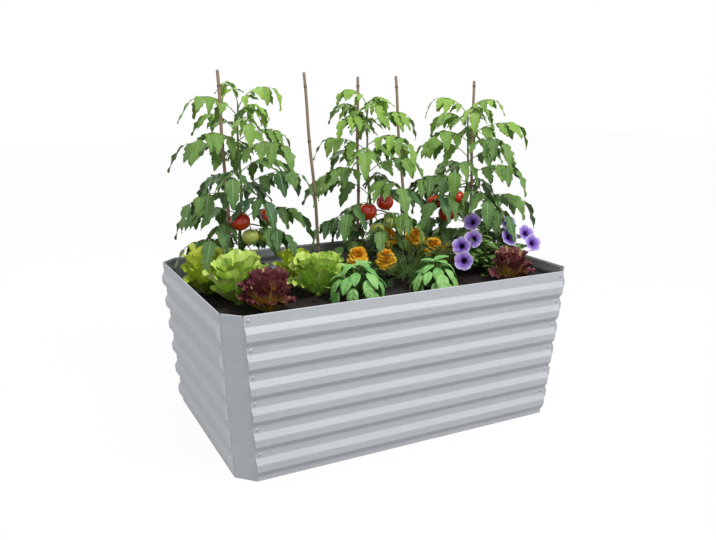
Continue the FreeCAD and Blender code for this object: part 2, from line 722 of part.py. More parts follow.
def build():
    """Every node of the bed, by name: one solid or a list of solids."""
    nodes = {PANEL_NODES[wall]: [wall_panel(wall)] for wall in WALLS}
    corners = ["front_left", "front_right", "back_left", "back_right"]
    places = [place for wall in WALLS for place in screw_places(wall)]
    for name in corners:
        here = [place for place in places if corner_of(place) == name]
        nodes[f"corner_{name}"] = [corner_piece(name)]
        nodes[f"screws_{name}"] = [placed(screw(), place) for place in here]
        nodes[f"nuts_{name}"] = [placed(nut(), place) for place in here]
    nodes["soil_bed"] = [soil_bed()]
    for number, (foot, top) in enumerate(CANES, 1):
        nodes[f"cane_{number}"] = [cane(foot, top)]
    for name, foot, top, spread, fruit in TOMATOES:
        nodes[f"tomato_stem_{name}"] = [tomato_stem(foot, top, fruit)]
        nodes[f"tomato_foliage_{name}"] = tomato_foliage(foot, top, spread)
        nodes[f"tomato_fruit_{name}"] = fruit_of(fruit)
    for name, middle, size in LETTUCES:
        nodes[name] = lettuce(middle, size)
    for name, middle, size in BASILS:
        nodes[name] = basil(middle, size)
    marigold_leaf = pinnate_leaf(MARIGOLD_LEAF, 4, MARIGOLD_LEAF * 0.3, MARIGOLD_LEAF * 0.1)
    nodes["marigold_foliage"] = bush(
        MARIGOLD_FOOT, MARIGOLD_BLOOMS, MARIGOLD_RADIUS * 0.55 + TOUCH, MARIGOLD_ARCH,
        marigold_leaf, MARIGOLD_STEM_LEAVES, MARIGOLD_LEAF_RISE)
    nodes["marigold_flowers"] = [marigold_bloom(*bloom) for bloom in MARIGOLD_BLOOMS]
    petunia_leaf = oval_leaf(PETUNIA_LEAF, PETUNIA_LEAF * 0.5)
    ends = [petunia_stem_end(*bloom) for bloom in PETUNIA_BLOOMS]
    nodes["petunia_foliage"] = bush(
        PETUNIA_FOOT, ends, 0, PETUNIA_ARCH, petunia_leaf, PETUNIA_STEM_LEAVES, PETUNIA_LEAF_RISE)
    nodes["petunia_flowers"] = [petunia_bloom(*bloom) for bloom in PETUNIA_BLOOMS]
    return nodes


def solids_in(shapes):
    return [solid for shape in shapes for solid in shape.Solids]


os.makedirs("parts", exist_ok=True)
total = 0
for node, shapes in build().items():
    solids = solids_in(shapes)
    shape = solids[0] if len(solids) == 1 else Part.makeCompound(solids)
    shape.exportStep(f"parts/{node}.step")
    total += len(solids)
    faulty = [i for i, solid in enumerate(solids) if not solid.isValid() or not solid.isClosed()]
    box = shape.BoundBox
    print(
        f"{node}: {len(solids)} solids, {shape.Volume / 1000:.1f} cm3, "
        f"x {box.XMin:.1f}..{box.XMax:.1f}, y {box.YMin:.1f}..{box.YMax:.1f}, z {box.ZMin:.1f}..{box.ZMax:.1f}"
        + (f" FAULTY {faulty}" if faulty else "")
    )
print("solids in all:", total)
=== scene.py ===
# %% [markdown]
# # A raised garden bed, planted
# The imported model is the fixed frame: the ribbed walls, corner pieces, screws, soil, canes and
# plants already stand at their real size and place. This file gives each of them its finish, and
# swaps the simple plant solids for leaves, petals and fruit made of mesh code.

# %% Load the frame
import json
import math

import bpy
import numpy as np
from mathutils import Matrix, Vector


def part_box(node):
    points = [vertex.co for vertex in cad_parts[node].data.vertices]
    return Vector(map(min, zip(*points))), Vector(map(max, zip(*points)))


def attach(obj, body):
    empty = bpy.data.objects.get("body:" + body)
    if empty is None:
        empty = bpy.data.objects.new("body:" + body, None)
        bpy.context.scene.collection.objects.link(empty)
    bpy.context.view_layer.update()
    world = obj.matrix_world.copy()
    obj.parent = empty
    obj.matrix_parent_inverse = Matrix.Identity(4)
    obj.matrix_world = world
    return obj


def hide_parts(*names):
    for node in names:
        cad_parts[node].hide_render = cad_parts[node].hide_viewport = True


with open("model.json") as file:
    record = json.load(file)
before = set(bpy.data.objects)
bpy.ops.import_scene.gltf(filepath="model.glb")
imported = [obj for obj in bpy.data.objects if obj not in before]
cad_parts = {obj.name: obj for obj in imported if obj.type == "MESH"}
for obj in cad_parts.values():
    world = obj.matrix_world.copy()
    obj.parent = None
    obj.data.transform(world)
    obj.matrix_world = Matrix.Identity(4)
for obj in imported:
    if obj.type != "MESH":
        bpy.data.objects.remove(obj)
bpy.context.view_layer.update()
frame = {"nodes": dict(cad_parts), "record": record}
print("nodes in the frame:", len(frame["nodes"]))

# %% [markdown]
# ## The camera
# A product picture is taken from a little above, with the near corner left of the middle. The
# camera's place was worked out from the bed's rim and corner folds. It has no roll and no shift.

# %% Camera
IMAGE_WIDTH = 716
FOCAL_PIXELS = 734.43
SENSOR = 36.0
CAMERA_PLACE = (-0.98183, -1.92412, 0.96541)
CAMERA_AZIMUTH = -26.766
CAMERA_ELEVATION = 13.889


def make_camera():
    azimuth = math.radians(CAMERA_AZIMUTH)
    elevation = math.radians(CAMERA_ELEVATION)
    back = Vector((
        math.sin(azimuth) * math.cos(elevation),
        -math.cos(azimuth) * math.cos(elevation),
        math.sin(elevation),
    ))
    data = bpy.data.cameras.new("camera")
    data.sensor_width = SENSOR
    data.lens = FOCAL_PIXELS / IMAGE_WIDTH * SENSOR
    camera = bpy.data.objects.new("camera", data)
    camera.location = CAMERA_PLACE
    camera.rotation_mode = "QUATERNION"
    camera.rotation_quaternion = (-back).to_track_quat("-Z", "Y")
    bpy.context.scene.collection.objects.link(camera)
    bpy.context.scene.camera = camera
    return camera


camera = make_camera()
print("lens:", round(camera.data.lens, 2), "mm")

# %% [markdown]
# ## Writing shaders as sums
# A Blender material is a graph of nodes. Written out link by link, even `1 - mask` takes four
# lines, so a small class wraps an output socket and lets Python's own operators add the Math
# nodes. Numbers alone never reach the graph: Python works them out first.


# %% The socket class and the graph class
class Signal:
    """A value that changes over a surface: one output socket, written like a number."""

    def __init__(self, finish, socket):
        self.finish = finish
        self.socket = socket

    def math(self, operation, *values):
        sockets = dict(enumerate(values))
        return self.finish.node("ShaderNodeMath", {"operation": operation}, sockets)

    def __add__(self, other):
        return self.math("ADD", self, other)

    __radd__ = __add__

    def __mul__(self, other):
        return self.math("MULTIPLY", self, other)

    __rmul__ = __mul__

    def __sub__(self, other):
        return self.math("SUBTRACT", self, other)

    def __rsub__(self, other):
        return self.math("SUBTRACT", other, self)

    def __abs__(self):
        return self.math("ABSOLUTE", self)

    def fraction(self):
        return self.math("FRACT", self)

    def sine(self):
        return self.math("SINE", self)

    def clamped(self):
        return self.math("MINIMUM", self.math("MAXIMUM", self, 0.0), 1.0)

    def step(self, low, high):
        """0 below low, 1 above high, and smooth between them."""
        settings = {"interpolation_type": "SMOOTHSTEP"}
        return self.finish.node(
            "ShaderNodeMapRange", settings, {"Value": self, "From Min": low, "From Max": high})


class Graph:
    """A node graph, and the one way to add to it."""

    def __init__(self, tree):
        self.tree = tree
        self.tree.nodes.clear()

    def feed(self, socket, value):
        if isinstance(value, Signal):
            self.tree.links.new(value.socket, socket)
        else:
            socket.default_value = value

    def node(self, kind, settings=None, sockets=None, out=0):
        """Any node: its settings first, then what its sockets hold or what feeds them."""
        made = self.tree.nodes.new(kind)
        for name, value in (settings or {}).items():
            setattr(made, name, value)
        for name, value in (sockets or {}).items():
            self.feed(made.inputs[name], value)
        return Signal(self, made.outputs[out])


# %% [markdown]
# A finish is a material and its graph. It knows where a point lies on the object, makes noise
# there, mixes two colours by a mask, and ends in the one shader that all of the pieces use.


# %% The finish class
class Finish(Graph):
    """A material and the node graph that is built in it."""

    def __init__(self, name):
        self.material = bpy.data.materials.new(name)
        self.material.use_nodes = True
        super().__init__(self.material.node_tree)

    def place(self):
        """Where on the object a point lies, in metres."""
        return self.node("ShaderNodeTexCoord", out=3)

    def stretched(self, x, y, z):
        return self.node("ShaderNodeMapping", {}, {"Vector": self.place(), "Scale": (x, y, z)})

    def noise(self, scale, detail=4.0, roughness=0.5, vector=None):
        sockets = {
            "Vector": self.place() if vector is None else vector,
            "Scale": scale, "Detail": detail, "Roughness": roughness,
        }
        return self.node("ShaderNodeTexNoise", {}, sockets)

    def mark(self, which):
        """One of the three numbers on each point of a blade: 0 across, 1 along, 2 shade."""
        marks = self.node("ShaderNodeAttribute", {"attribute_name": "blade"}, out=1)
        return self.node("ShaderNodeSeparateXYZ", {}, {0: marks}, which)

    def mix(self, one, other, mask):
        """From colour one to colour other as the mask goes from 0 to 1."""
        return self.node("ShaderNodeMix", {"data_type": "RGBA"}, {0: mask, 6: one, 7: other}, 2)

    def surface(self, colour, roughness, bump=None, depth=0.001, **constants):
        """The shader itself; bump is a height from 0 to 1, and depth is its size in metres."""
        shader = self.tree.nodes.new("ShaderNodeBsdfPrincipled")
        self.feed(shader.inputs["Base Color"], colour)
        self.feed(shader.inputs["Roughness"], roughness)
        for name, value in constants.items():
            shader.inputs[name.replace("_", " ")].default_value = value
        if bump is not None:
            sockets = {"Height": bump, "Distance": depth, "Strength": 1.0}
            self.feed(shader.inputs["Normal"], self.node("ShaderNodeBump", {}, sockets))
        output = self.tree.nodes.new("ShaderNodeOutputMaterial")
        self.tree.links.new(shader.outputs[0], output.inputs[0])
        return self.material


def tone(red, green, blue):
    """A colour as a picture shows it, 0 to 255, turned into the light it stands for."""
    values = [v / 255 for v in (red, green, blue)]
    light = [v / 12.92 if v <= 0.04045 else ((v + 0.055) / 1.055) ** 2.4 for v in values]
    return (*light, 1.0)


print("mid grey as light:", [round(v, 3) for v in tone(178, 182, 187)])

# %% [markdown]
# ## Zinc-coated sheet
# The walls are thin steel with a satin zinc coating. It isn't a mirror: it scatters most of the
# light and keeps a soft sheen. The coating's tiny crystals show as a faint mottling in the colour
# and the gloss, and handling leaves a few long, level streaks. The side that faces the soil is
# painted a darker grey: painted shade for the shadow inside the bed. The shader finds that side by
# itself: there, the surface looks towards the bed's middle, so its direction and its place point
# opposite ways. The rolled rim, which turns the outer side in, is left out of the painted shade.


# %% Galvanised finish
RIM_ROLL_FOOT = 0.443


def galvanised_finish():
    finish = Finish("galvanised_sheet")
    mottle = finish.noise(55.0, 6.0, 0.6)
    streak = finish.noise(3.0, 5.0, 0.6, finish.stretched(1.0, 1.0, 14.0))
    grain = finish.noise(900.0, 2.0)
    worn = (mottle * 0.55 + streak * 0.45).step(0.3, 0.7)
    bright = finish.mix(tone(198, 202, 207), tone(206, 210, 215), worn)
    place = finish.place()
    level_place = finish.node(
        "ShaderNodeVectorMath", {"operation": "MULTIPLY"}, {0: place, 1: (1, 1, 0)})
    looks = finish.node("ShaderNodeNewGeometry", out=1)
    outward = finish.node(
        "ShaderNodeVectorMath", {"operation": "DOT_PRODUCT"}, {0: level_place, 1: looks}, 1)
    height = finish.node("ShaderNodeSeparateXYZ", {}, {0: place}, 2)
    # painted shade: the side facing the soil is darkened for the shadow inside the bed, except on the
    # rolled rim
    inner = (1 - outward.step(-0.12, -0.04)) * (1 - height.step(RIM_ROLL_FOOT - 0.001, RIM_ROLL_FOOT))
    colour = finish.mix(bright, tone(160, 162, 168), inner)
    roughness = 0.50 + mottle * 0.14
    return finish.surface(colour, roughness, grain, 0.00003, Metallic=0.12)


def fastener_finish():
    finish = Finish("fastener_steel")
    smear = finish.noise(260.0, 4.0)
    colour = finish.mix(tone(176, 180, 186), tone(204, 208, 214), smear)
    return finish.surface(colour, 0.34 + smear * 0.2, smear, 0.00005, Metallic=0.35)


def dress(nodes, material):
    """Gives CAD nodes a finish in place of their plain one."""
    for name in nodes:
        mesh = frame["nodes"][name].data
        mesh.materials.clear()
        mesh.materials.append(material)


names = sorted(frame["nodes"])
sheet_nodes = [n for n in names if n.endswith("_panel") or n.startswith("corner_")]
fastener_nodes = [n for n in names if n.startswith(("screws_", "nuts_"))]
dress(sheet_nodes, galvanised_finish())
dress(fastener_nodes, fastener_finish())
print("sheet pieces:", len(sheet_nodes), "fastener groups:", len(fastener_nodes))

# %% [markdown]
# ## Thin things: leaves and petals
# Every leaf and petal here is a small grid of points, bent in three ways: it droops along its
# midrib, folds across it and ruffles at its edge. One collector gathers all the blades of a plant
# into one mesh. Each point also keeps three numbers, how far across the blade it is, how far
# along, and its blade's own shade, so that the material can draw veins without any picture.


# %% The collector
RIM_HEIGHT = 0.452
RIM_HALF = np.array([0.530, 0.345])
WALL_LEAN = 0.030 / 0.450
RIM_CLEARANCE = 0.006


def within_walls(points):
    """Below the rim, points past a wall's inner side are moved in to lie against it.

    A leaf that hangs outside the wall is stretched by this, where part of it is below the rim.
    """
    below = points[:, 2] < RIM_HEIGHT
    room = RIM_HALF - RIM_CLEARANCE - WALL_LEAN * (RIM_HEIGHT - points[:, 2:3])
    level = np.clip(points[:, :2], -room, room)
    points[:, :2] = np.where(below[:, None], level, points[:, :2])
    return points


class Growth:
    """Gathers blades, stems and round things, and makes one mesh of them."""

    def __init__(self):
        self.points = []
        self.marks = []
        self.faces = []
        self.paints = []
        self.count = 0

    def grid(self, points, marks, paint=0, closed=False):
        """A sheet of rows by columns; closed joins its last column to its first."""
        rows, columns = points.shape[:2]
        index = np.arange(rows * columns).reshape(rows, columns) + self.count
        if closed:
            index = np.hstack([index, index[:, :1]])
        quads = np.stack([index[:-1, :-1], index[:-1, 1:], index[1:, 1:], index[1:, :-1]], -1)
        quads = quads.reshape(-1, 4)
        self.points.append(points.reshape(-1, 3))
        self.marks.append(marks.reshape(-1, 3))
        self.faces.append(quads)
        self.paints.append(np.full(len(quads), paint))
        self.count += rows * columns

    def tube(self, path, radii, paint=0, sides=6, shade=0.5):
        """A round stem along a path of points, closed to a point at both ends."""
        path = np.asarray(path, float)
        radii = np.asarray(radii, float)
        path = np.vstack([path[:1], path, path[-1:]])
        radii = np.concatenate([[radii[0] * 0.02], radii, [radii[-1] * 0.02]])
        ahead = np.gradient(path[1:-1], axis=0)
        ahead = np.vstack([ahead[:1], ahead, ahead[-1:]])
        ahead /= np.linalg.norm(ahead, axis=1)[:, None]
        helper = np.array([0.31, 0.95, 0.05])
        side = np.cross(ahead, helper)
        side /= np.linalg.norm(side, axis=1)[:, None]
        other = np.cross(ahead, side)
        angle = np.linspace(0, 2 * np.pi, sides, endpoint=False)
        ring = side[:, None] * np.cos(angle)[None, :, None]
        ring = ring + other[:, None] * np.sin(angle)[None, :, None]
        points = path[:, None] + ring * radii[:, None, None]
        marks = np.zeros_like(points)
        marks[..., 0] = angle[None] / np.pi - 1
        marks[..., 1] = np.linspace(0, 1, len(path))[:, None]
        marks[..., 2] = shade
        self.grid(points, marks, paint, closed=True)

    def piece(self, name, nodes, slot, materials, planted=True):
        """The finished mesh, which stands for the CAD nodes named; a plant stays inside the walls."""
        mesh = bpy.data.meshes.new(name)
        points = np.vstack(self.points)
        if planted:
            points = within_walls(points)
        faces = np.vstack(self.faces)
        mesh.from_pydata(points.tolist(), [], faces.tolist())
        marks = mesh.attributes.new("blade", "FLOAT_VECTOR", "POINT")
        marks.data.foreach_set("vector", np.vstack(self.marks).ravel())
        for material in materials:
            mesh.materials.append(material)
        mesh.polygons.foreach_set("material_index", np.concatenate(self.paints).astype(np.int32))
        mesh.shade_smooth()
        mesh.update()
        thing = bpy.data.objects.new(name, mesh)
        bpy.context.scene.collection.objects.link(thing)
        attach(thing, "root")
        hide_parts(*nodes)
        print(name, "faces:", len(faces))
        return thing


# %% [markdown]
# ## Bending one blade
# A blade starts flat along x. Its bend grows from foot to tip, like a leaf that hangs under its
# own weight, and its two halves fold up from the midrib. Then it is turned to its heading on the
# plant.


# %% Blade shapes
def unit(vector):
    vector = np.asarray(vector, float)
    return vector / np.linalg.norm(vector)


def blade(length, half_width, outline, rows, columns, droop=0.0, fold=0.3, ruffle=None):
    """The points of one blade and its marks; outline gives the share of the width at each row."""
    along = np.linspace(0, 1, rows)
    across = np.linspace(-1, 1, columns)
    bend = droop * along
    middle = (bend[1:] + bend[:-1]) / 2
    step = length / (rows - 1)
    x = np.concatenate([[0], np.cumsum(np.cos(middle))]) * step
    z = -np.concatenate([[0], np.cumsum(np.sin(middle))]) * step
    s, t = np.meshgrid(across, along)
    reach = half_width * outline(s, t)
    lift = np.abs(s) * reach * math.sin(fold)
    if ruffle is not None:
        lift = lift + ruffle(s, t)
    points = np.stack([
        x[:, None] + lift * np.sin(bend)[:, None],
        s * reach * math.cos(fold),
        z[:, None] + lift * np.cos(bend)[:, None],
    ], -1)
    return points, s, t


def turned(points, at, ahead, face):
    """Sets a blade down: its length runs ahead from at, and its upper side faces the given way."""
    ahead = unit(ahead)
    side = unit(np.cross(face, ahead))
    up = np.cross(ahead, side)
    return np.asarray(at) + points @ np.stack([ahead, side, up])


def marked(s, t, shade):
    return np.stack([s, t, np.full_like(s, shade)], -1)


def heading(degrees, rise):
    """A direction from its turn round the plant and its rise above level, in degrees."""
    turn = math.radians(degrees)
    lift = math.radians(rise)
    return np.array([math.cos(turn) * math.cos(lift), math.sin(turn) * math.cos(lift), math.sin(lift)])


def pointed(s, t):
    """An oval that narrows to a point."""
    return np.sin(np.pi * t ** 0.75) ** 0.9 * (1 - 0.25 * t) + 0.012


print("a level heading to the right:", heading(0, 0))

# %% [markdown]
# ## Leaf finishes
# A leaf's midrib and side veins are paler than the flesh between them, the flesh puffs up a
# little between veins, and no two leaves have quite the same green. The marks on each point give
# all three: a thin pale line where *across* is near zero, slanted lines where *along* minus
# *across* comes round again, and a mix between two greens by the blade's own shade.


# %% Leaf finish
def leaf_finish(name, dark, light, vein, veins=7.0, gloss=0.5, edge=None, edge_from=0.7):
    finish = Finish(name)
    across, along, shade = abs(finish.mark(0)), finish.mark(1), finish.mark(2)
    midrib = 1 - across.step(0.0, 0.10)
    slanted = ((along - across * 0.28) * veins).fraction()
    side_vein = 1 - abs(slanted - 0.5).step(0.0, 0.11)
    patch = finish.noise(160.0, 4.0)
    green = finish.mix(dark, light, (shade * 0.75 + patch * 0.35).clamped())
    if edge is not None:
        rim = (finish.noise(90.0, 3.0) * 0.5 + along + across * 0.18).step(edge_from, edge_from + 0.35)
        green = finish.mix(green, edge, rim)
    colour = finish.mix(green, vein, (midrib * 0.75 + side_vein * 0.28).clamped())
    puffed = (1 - midrib) * (1 - side_vein * 0.6) + patch * 0.25
    roughness = (1 - gloss) + patch * 0.12
    return finish.surface(colour, roughness, puffed, 0.0009, IOR=1.4)


def stem_finish(name, low, high):
    finish = Finish(name)
    patch = finish.noise(70.0, 4.0, 0.6)
    hairs = finish.noise(1400.0, 2.0)
    colour = finish.mix(low, high, patch)
    return finish.surface(colour, 0.55, hairs, 0.0003)


tomato_leaf_finish = leaf_finish(
    "tomato_leaf", tone(40, 84, 60), tone(156, 200, 74), tone(160, 190, 136), gloss=0.58)
green_stem_finish = stem_finish("green_stem", tone(86, 118, 50), tone(128, 156, 74))
print("leaf finishes so far:", len(bpy.data.materials))

# %% [markdown]
# ## What the frame says about each plant
# A node may hold several separate solids, such as the fruit of one plant. Joining the points that
# lie together and following the edges splits them again, so that each fruit or bloom here sits
# exactly where its solid does.


# %% Separate solids of a node
def loose_solids(node):
    """The points of each separate solid in a CAD node."""
    mesh = frame["nodes"][node].data
    points = np.empty(len(mesh.vertices) * 3)
    mesh.vertices.foreach_get("co", points)
    points = points.reshape(-1, 3)
    _, same = np.unique(np.round(points, 6), axis=0, return_inverse=True)
    same = same.ravel()
    edges = np.empty(len(mesh.edges) * 2, int)
    mesh.edges.foreach_get("vertices", edges)
    edges = same[edges.reshape(-1, 2)]
    label = np.arange(same.max() + 1)
    while True:
        lowest = np.minimum(label[edges[:, 0]], label[edges[:, 1]])
        new = label.copy()
        np.minimum.at(new, edges[:, 0], lowest)
        np.minimum.at(new, edges[:, 1], lowest)
        new = new[new]
        if np.array_equal(new, label):
            break
        label = new
    group = label[same]
    return [points[group == g] for g in np.unique(group)]


def middle_of(points):
    return (points.min(0) + points.max(0)) / 2


def reach_of(points):
    return (points.max(0) - points.min(0)) / 2


soil_top = float(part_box("soil_bed")[1].z)
print("soil top:", round(soil_top, 4))

# %% [markdown]
# ## Soil
# Potting compost is nearly black when moist, and crumbly: its surface is a low landscape of
# crumbs, with some larger clods and bits of bark lying on it. The landscape is a fine grid that
# follows the bed's cut corners, raised and lowered by sums of waves, and closed below by a skirt
# down to the ground.


# %% Soil finish
def soil_finish():
    finish = Finish("soil")
    crumb = finish.noise(420.0, 6.0, 0.7)
    damp = finish.noise(18.0, 3.0)
    fibre = finish.noise(240.0, 3.0, 0.6, finish.stretched(1.0, 5.0, 1.0)).step(0.66, 0.74)
    dark = finish.mix(tone(24, 19, 17), tone(58, 46, 38), (crumb * 0.7 + damp * 0.4 - 0.1).clamped())
    colour = finish.mix(dark, tone(112, 88, 62), fibre * 0.55)
    return finish.surface(colour, 0.95 - damp * 0.2, crumb, 0.004)


# %% [markdown]
# The walls lean, so the soil is narrower at the ground than at its surface. The frame's own soil
# solid gives both outlines.


# %% Soil surface
SOIL_COLUMNS = 210
SOIL_ROWS = 136
SOIL_RISE = 0.007
CLODS = 420
random_soil = np.random.default_rng(11)


def soil_outline():
    """Half sizes at the surface and the cut corner's leg, and how much less they are at the ground."""
    points = np.array([v.co for v in frame["nodes"]["soil_bed"].data.vertices])
    top = points[points[:, 2] > soil_top - 0.002]
    low = points[points[:, 2] < 0.001]
    half = top[:, :2].max(0)
    leg = half[0] - np.abs(top[np.abs(top[:, 1]) > half[1] - 0.0005][:, 0]).max()
    return half, leg, half - low[:, :2].max(0)


def waves(x, y, count, longest, shortest, rng):
    """A rough surface as a sum of waves that run every way, the short ones lower."""
    height = np.zeros_like(x)
    for size in np.geomspace(longest, shortest, count):
        turn = rng.uniform(0, 2 * np.pi)
        phase = rng.uniform(0, 2 * np.pi, 2)
        along = (x * math.cos(turn) + y * math.sin(turn)) * 2 * np.pi / size
        cross = (y * math.cos(turn) - x * math.sin(turn)) * 2 * np.pi / size
        height += size ** 0.8 * np.sin(along + phase[0]) * np.sin(cross * 0.8 + phase[1])
    return height / np.abs(height).max()


def soil_grid(half, leg):
    """Surface points from edge to edge of the bed, with the corners cut."""
    u, v = np.meshgrid(np.linspace(-1, 1, SOIL_COLUMNS), np.linspace(-1, 1, SOIL_ROWS))
    y = v * half[1]
    x = u * (half[0] - np.maximum(0, np.abs(y) - (half[1] - leg)))
    rough = waves(x, y, 26, 0.22, 0.006, random_soil)
    return np.stack([x, y, soil_top + SOIL_RISE * rough], -1)


def clod(growth, at, size, rng):
    """A crumb of soil: a small ball pushed out of round."""
    turn, rise = np.meshgrid(np.linspace(0, 2 * np.pi, 7)[:-1], np.linspace(-np.pi / 2, np.pi / 2, 5))
    ball = np.stack([np.cos(turn) * np.cos(rise), np.sin(turn) * np.cos(rise), np.sin(rise)], -1)
    ball = ball * rng.uniform(0.7, 1.3, (1, 1, 3)) * rng.uniform(0.75, 1.2, ball.shape[:2])[..., None]
    ball[0] = ball[0].mean(0)
    ball[-1] = ball[-1].mean(0)
    growth.grid(at + ball * size, np.full(ball.shape, rng.uniform()), 0, closed=True)


def make_soil():
    half, leg, drawn_in = soil_outline()
    growth = Growth()
    top = soil_grid(half, leg)
    growth.grid(top, np.zeros(top.shape))
    rim = np.concatenate([top[0], top[1:-1, -1], top[-1, ::-1], top[-2:0:-1, 0]])
    foot = rim.copy()
    foot[:, :2] -= drawn_in * np.clip(rim[:, :2] / (half - leg), -1, 1)
    foot[:, 2] = 0.0
    centre = foot * (0.001, 0.001, 1)
    skirt = np.stack([centre, foot, rim])
    growth.grid(skirt, np.zeros(skirt.shape), 0, closed=True)
    for _ in range(CLODS):
        spot = random_soil.uniform(-0.96, 0.96, 2) * half
        if abs(spot[0]) + abs(spot[1]) > half.sum() - leg - 0.03:
            continue
        size = random_soil.uniform(0.002, 0.0065)
        clod(growth, np.array([spot[0], spot[1], soil_top + 0.001]), size, random_soil)
    return growth.piece("soil", ["soil_bed"], "soil", [soil_finish()], planted=False)


soil = make_soil()

# %% [markdown]
# ## Bamboo canes
# A bamboo cane is a hollow grass stem with a ring at each node, where it swells a little and
# darkens. The joints between rings are nearly straight, but each one sets off at a slightly
# different angle. The tube's radius and the path's small sideways steps make that.


# %% Canes
CANE_NODE_SPACING = 0.165


def bamboo_finish():
    finish = Finish("bamboo")
    ring = finish.mark(2)
    fibre = finish.noise(60.0, 4.0, 0.6, finish.stretched(9.0, 9.0, 0.35))
    stain = finish.noise(14.0, 3.0)
    straw = finish.mix(tone(126, 98, 80), tone(184, 158, 132), (fibre * 0.8 + stain * 0.3).clamped())
    colour = finish.mix(straw, tone(92, 70, 56), ring)
    return finish.surface(colour, 0.48 + stain * 0.1, fibre, 0.0003)


def make_cane(number, material):
    node = f"cane_{number}"
    points = np.array([v.co for v in frame["nodes"][node].data.vertices])
    low = points[points[:, 2] < points[:, 2].min() + 0.002].mean(0)
    high = points[points[:, 2] > points[:, 2].max() - 0.002].mean(0)
    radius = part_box(node)[1].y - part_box(node)[0].y
    radius = min(radius / 2, 0.0055)
    rng = np.random.default_rng(40 + number)
    length = np.linalg.norm(high - low)
    ahead = (high - low) / length
    bow = rng.uniform(-0.004, 0.004, 2)
    path, radii, rings = [], [], []
    for part_way in np.linspace(0, 1, int(length / 0.0033)):
        along = part_way * length
        away = (along / CANE_NODE_SPACING + 0.5) % 1.0
        near = min(away, 1 - away) * CANE_NODE_SPACING
        knot = math.exp(-(near / 0.0028) ** 2)
        kink = math.sin(along / CANE_NODE_SPACING * math.pi) * 0.0012
        sideways = math.sin(part_way * math.pi)
        at = low + ahead * along + np.array([bow[0] * sideways + kink, bow[1] * sideways - kink, 0.0])
        path.append(at)
        radii.append(radius * (1.0 - 0.18 * part_way) + 0.0011 * knot)
        rings.append(knot)
    growth = Growth()
    growth.tube(path, radii, sides=12)
    marks = growth.marks[0].reshape(-1, 12, 3)
    marks[..., 2] = np.concatenate([[0], rings, [0]])[:, None]
    growth.marks[0] = marks.reshape(-1, 3)
    return growth.piece(f"bamboo_{number}", [node], "bamboo", [material])


bamboo = bamboo_finish()
canes = [make_cane(number, bamboo) for number in range(1, 6)]

# %% [markdown]
# ## Tomato leaves
# A tomato leaf is divided: a thin midrib that rises from the stem, arches over and hangs, with
# pairs of leaflets along it and one at its tip. Each leaflet has deep teeth that point forward,
# and hangs almost straight down. The teeth are cut into the blade's outline by a saw wave.


# %% Tomato leaflets
TEETH = 4


def toothed(s, t):
    """A pointed leaflet with deep forward teeth; the cuts reach only the outer part of the blade."""
    body = np.sin(np.pi * t ** 0.66) ** 0.7 * (1 - 0.34 * t) + 0.02
    saw = ((t * TEETH + 0.15) % 1.0)
    cut = 1 - 0.36 * (1 - saw) * np.abs(s) ** 2 * (t < 0.93)
    return body * cut


def leaflet(growth, at, ahead, face, length, shade, rng):
    points, s, t = blade(
        length, length * 0.31, toothed, 17, 7,
        droop=rng.uniform(0.1, 0.8), fold=rng.uniform(0.05, 0.4),
        ruffle=lambda s, t: 0.035 * length * np.sin(t * 13 + s * 2) * s * s,
    )
    growth.grid(turned(points, at, ahead, face), marked(s, t, shade), 0)


def tomato_leaf(growth, at, turn, rise, length, shade, rng):
    """One divided leaf: its midrib's path first, then leaflets set along it."""
    steps = 12
    fall = rise + rng.uniform(20, 45)
    path = [np.asarray(at, float)]
    for i in range(steps):
        swing = turn + 10 * math.sin(i * 0.5 + rise)
        ahead = heading(swing, rise - fall * (i / steps) ** 1.4)
        path.append(path[-1] + ahead * (length * 0.8 / steps))
    path = np.array(path)
    growth.tube(path, np.linspace(0.0016, 0.0006, len(path)), 1, 5)
    down = np.array([0, 0, -1.0])
    for number, part_way in enumerate((0.36, 0.50, 0.64, 0.80)):
        index = part_way * steps
        spot = path[int(index)] + (path[int(index) + 1] - path[int(index)]) * (index % 1)
        ahead = unit(path[int(index) + 1] - path[int(index)])
        side = unit(np.cross(ahead, [0, 0, 1]))
        size = length * (0.14 if number % 2 == 1 and part_way < 0.6 else 0.35) * rng.uniform(0.8, 1.15)
        for way in (1, -1):
            out = ahead * 0.42 + side * way * 0.75 + down * rng.uniform(0.35, 0.95)
            face = unit(np.cross(np.cross(out, [0, 0, 1]), out) + side * way * 0.5)
            leaflet(growth, spot, out, face, size, shade + rng.uniform(-0.2, 0.2), rng)
    ahead = unit(path[-1] - path[-2])
    out = ahead + down * 0.9
    face = np.cross(np.cross(out, [0, 0, 1]), out) + ahead * 0.2
    leaflet(growth, path[-1], out, face, length * 0.40, shade, rng)


# %% [markdown]
# ## Tomato plants
# The stem follows its solid. Leaves leave it in a spiral, each one a little over a third of a turn
# from the last, the middle ones large and dark and the top ones smaller and fresh. A second, short
# spiral near the ground stands for the crowded low leaves.


# %% Tomato foliage
GOLDEN_TURN = 137.5
TOMATO_LEAVES = 27
LOW_TOMATO_LEAVES = 9


def stem_ends(node):
    """The foot of a plant's stem and its tip."""
    points = np.array([v.co for v in frame["nodes"][node].data.vertices])
    low = points[points[:, 2] < points[:, 2].min() + 0.004]
    high = points[points[:, 2] > points[:, 2].max() - 0.004]
    return np.array([*low[:, :2].mean(0), soil_top]), high.mean(0)


def stem_point(low, high, part_way, seed):
    """A point on the real, slightly crooked stem."""
    crook = 0.006 * math.sin(part_way * 9 + seed) * math.sin(math.pi * part_way)
    return low + (high - low) * part_way + np.array([crook, crook * 0.6, 0.0])


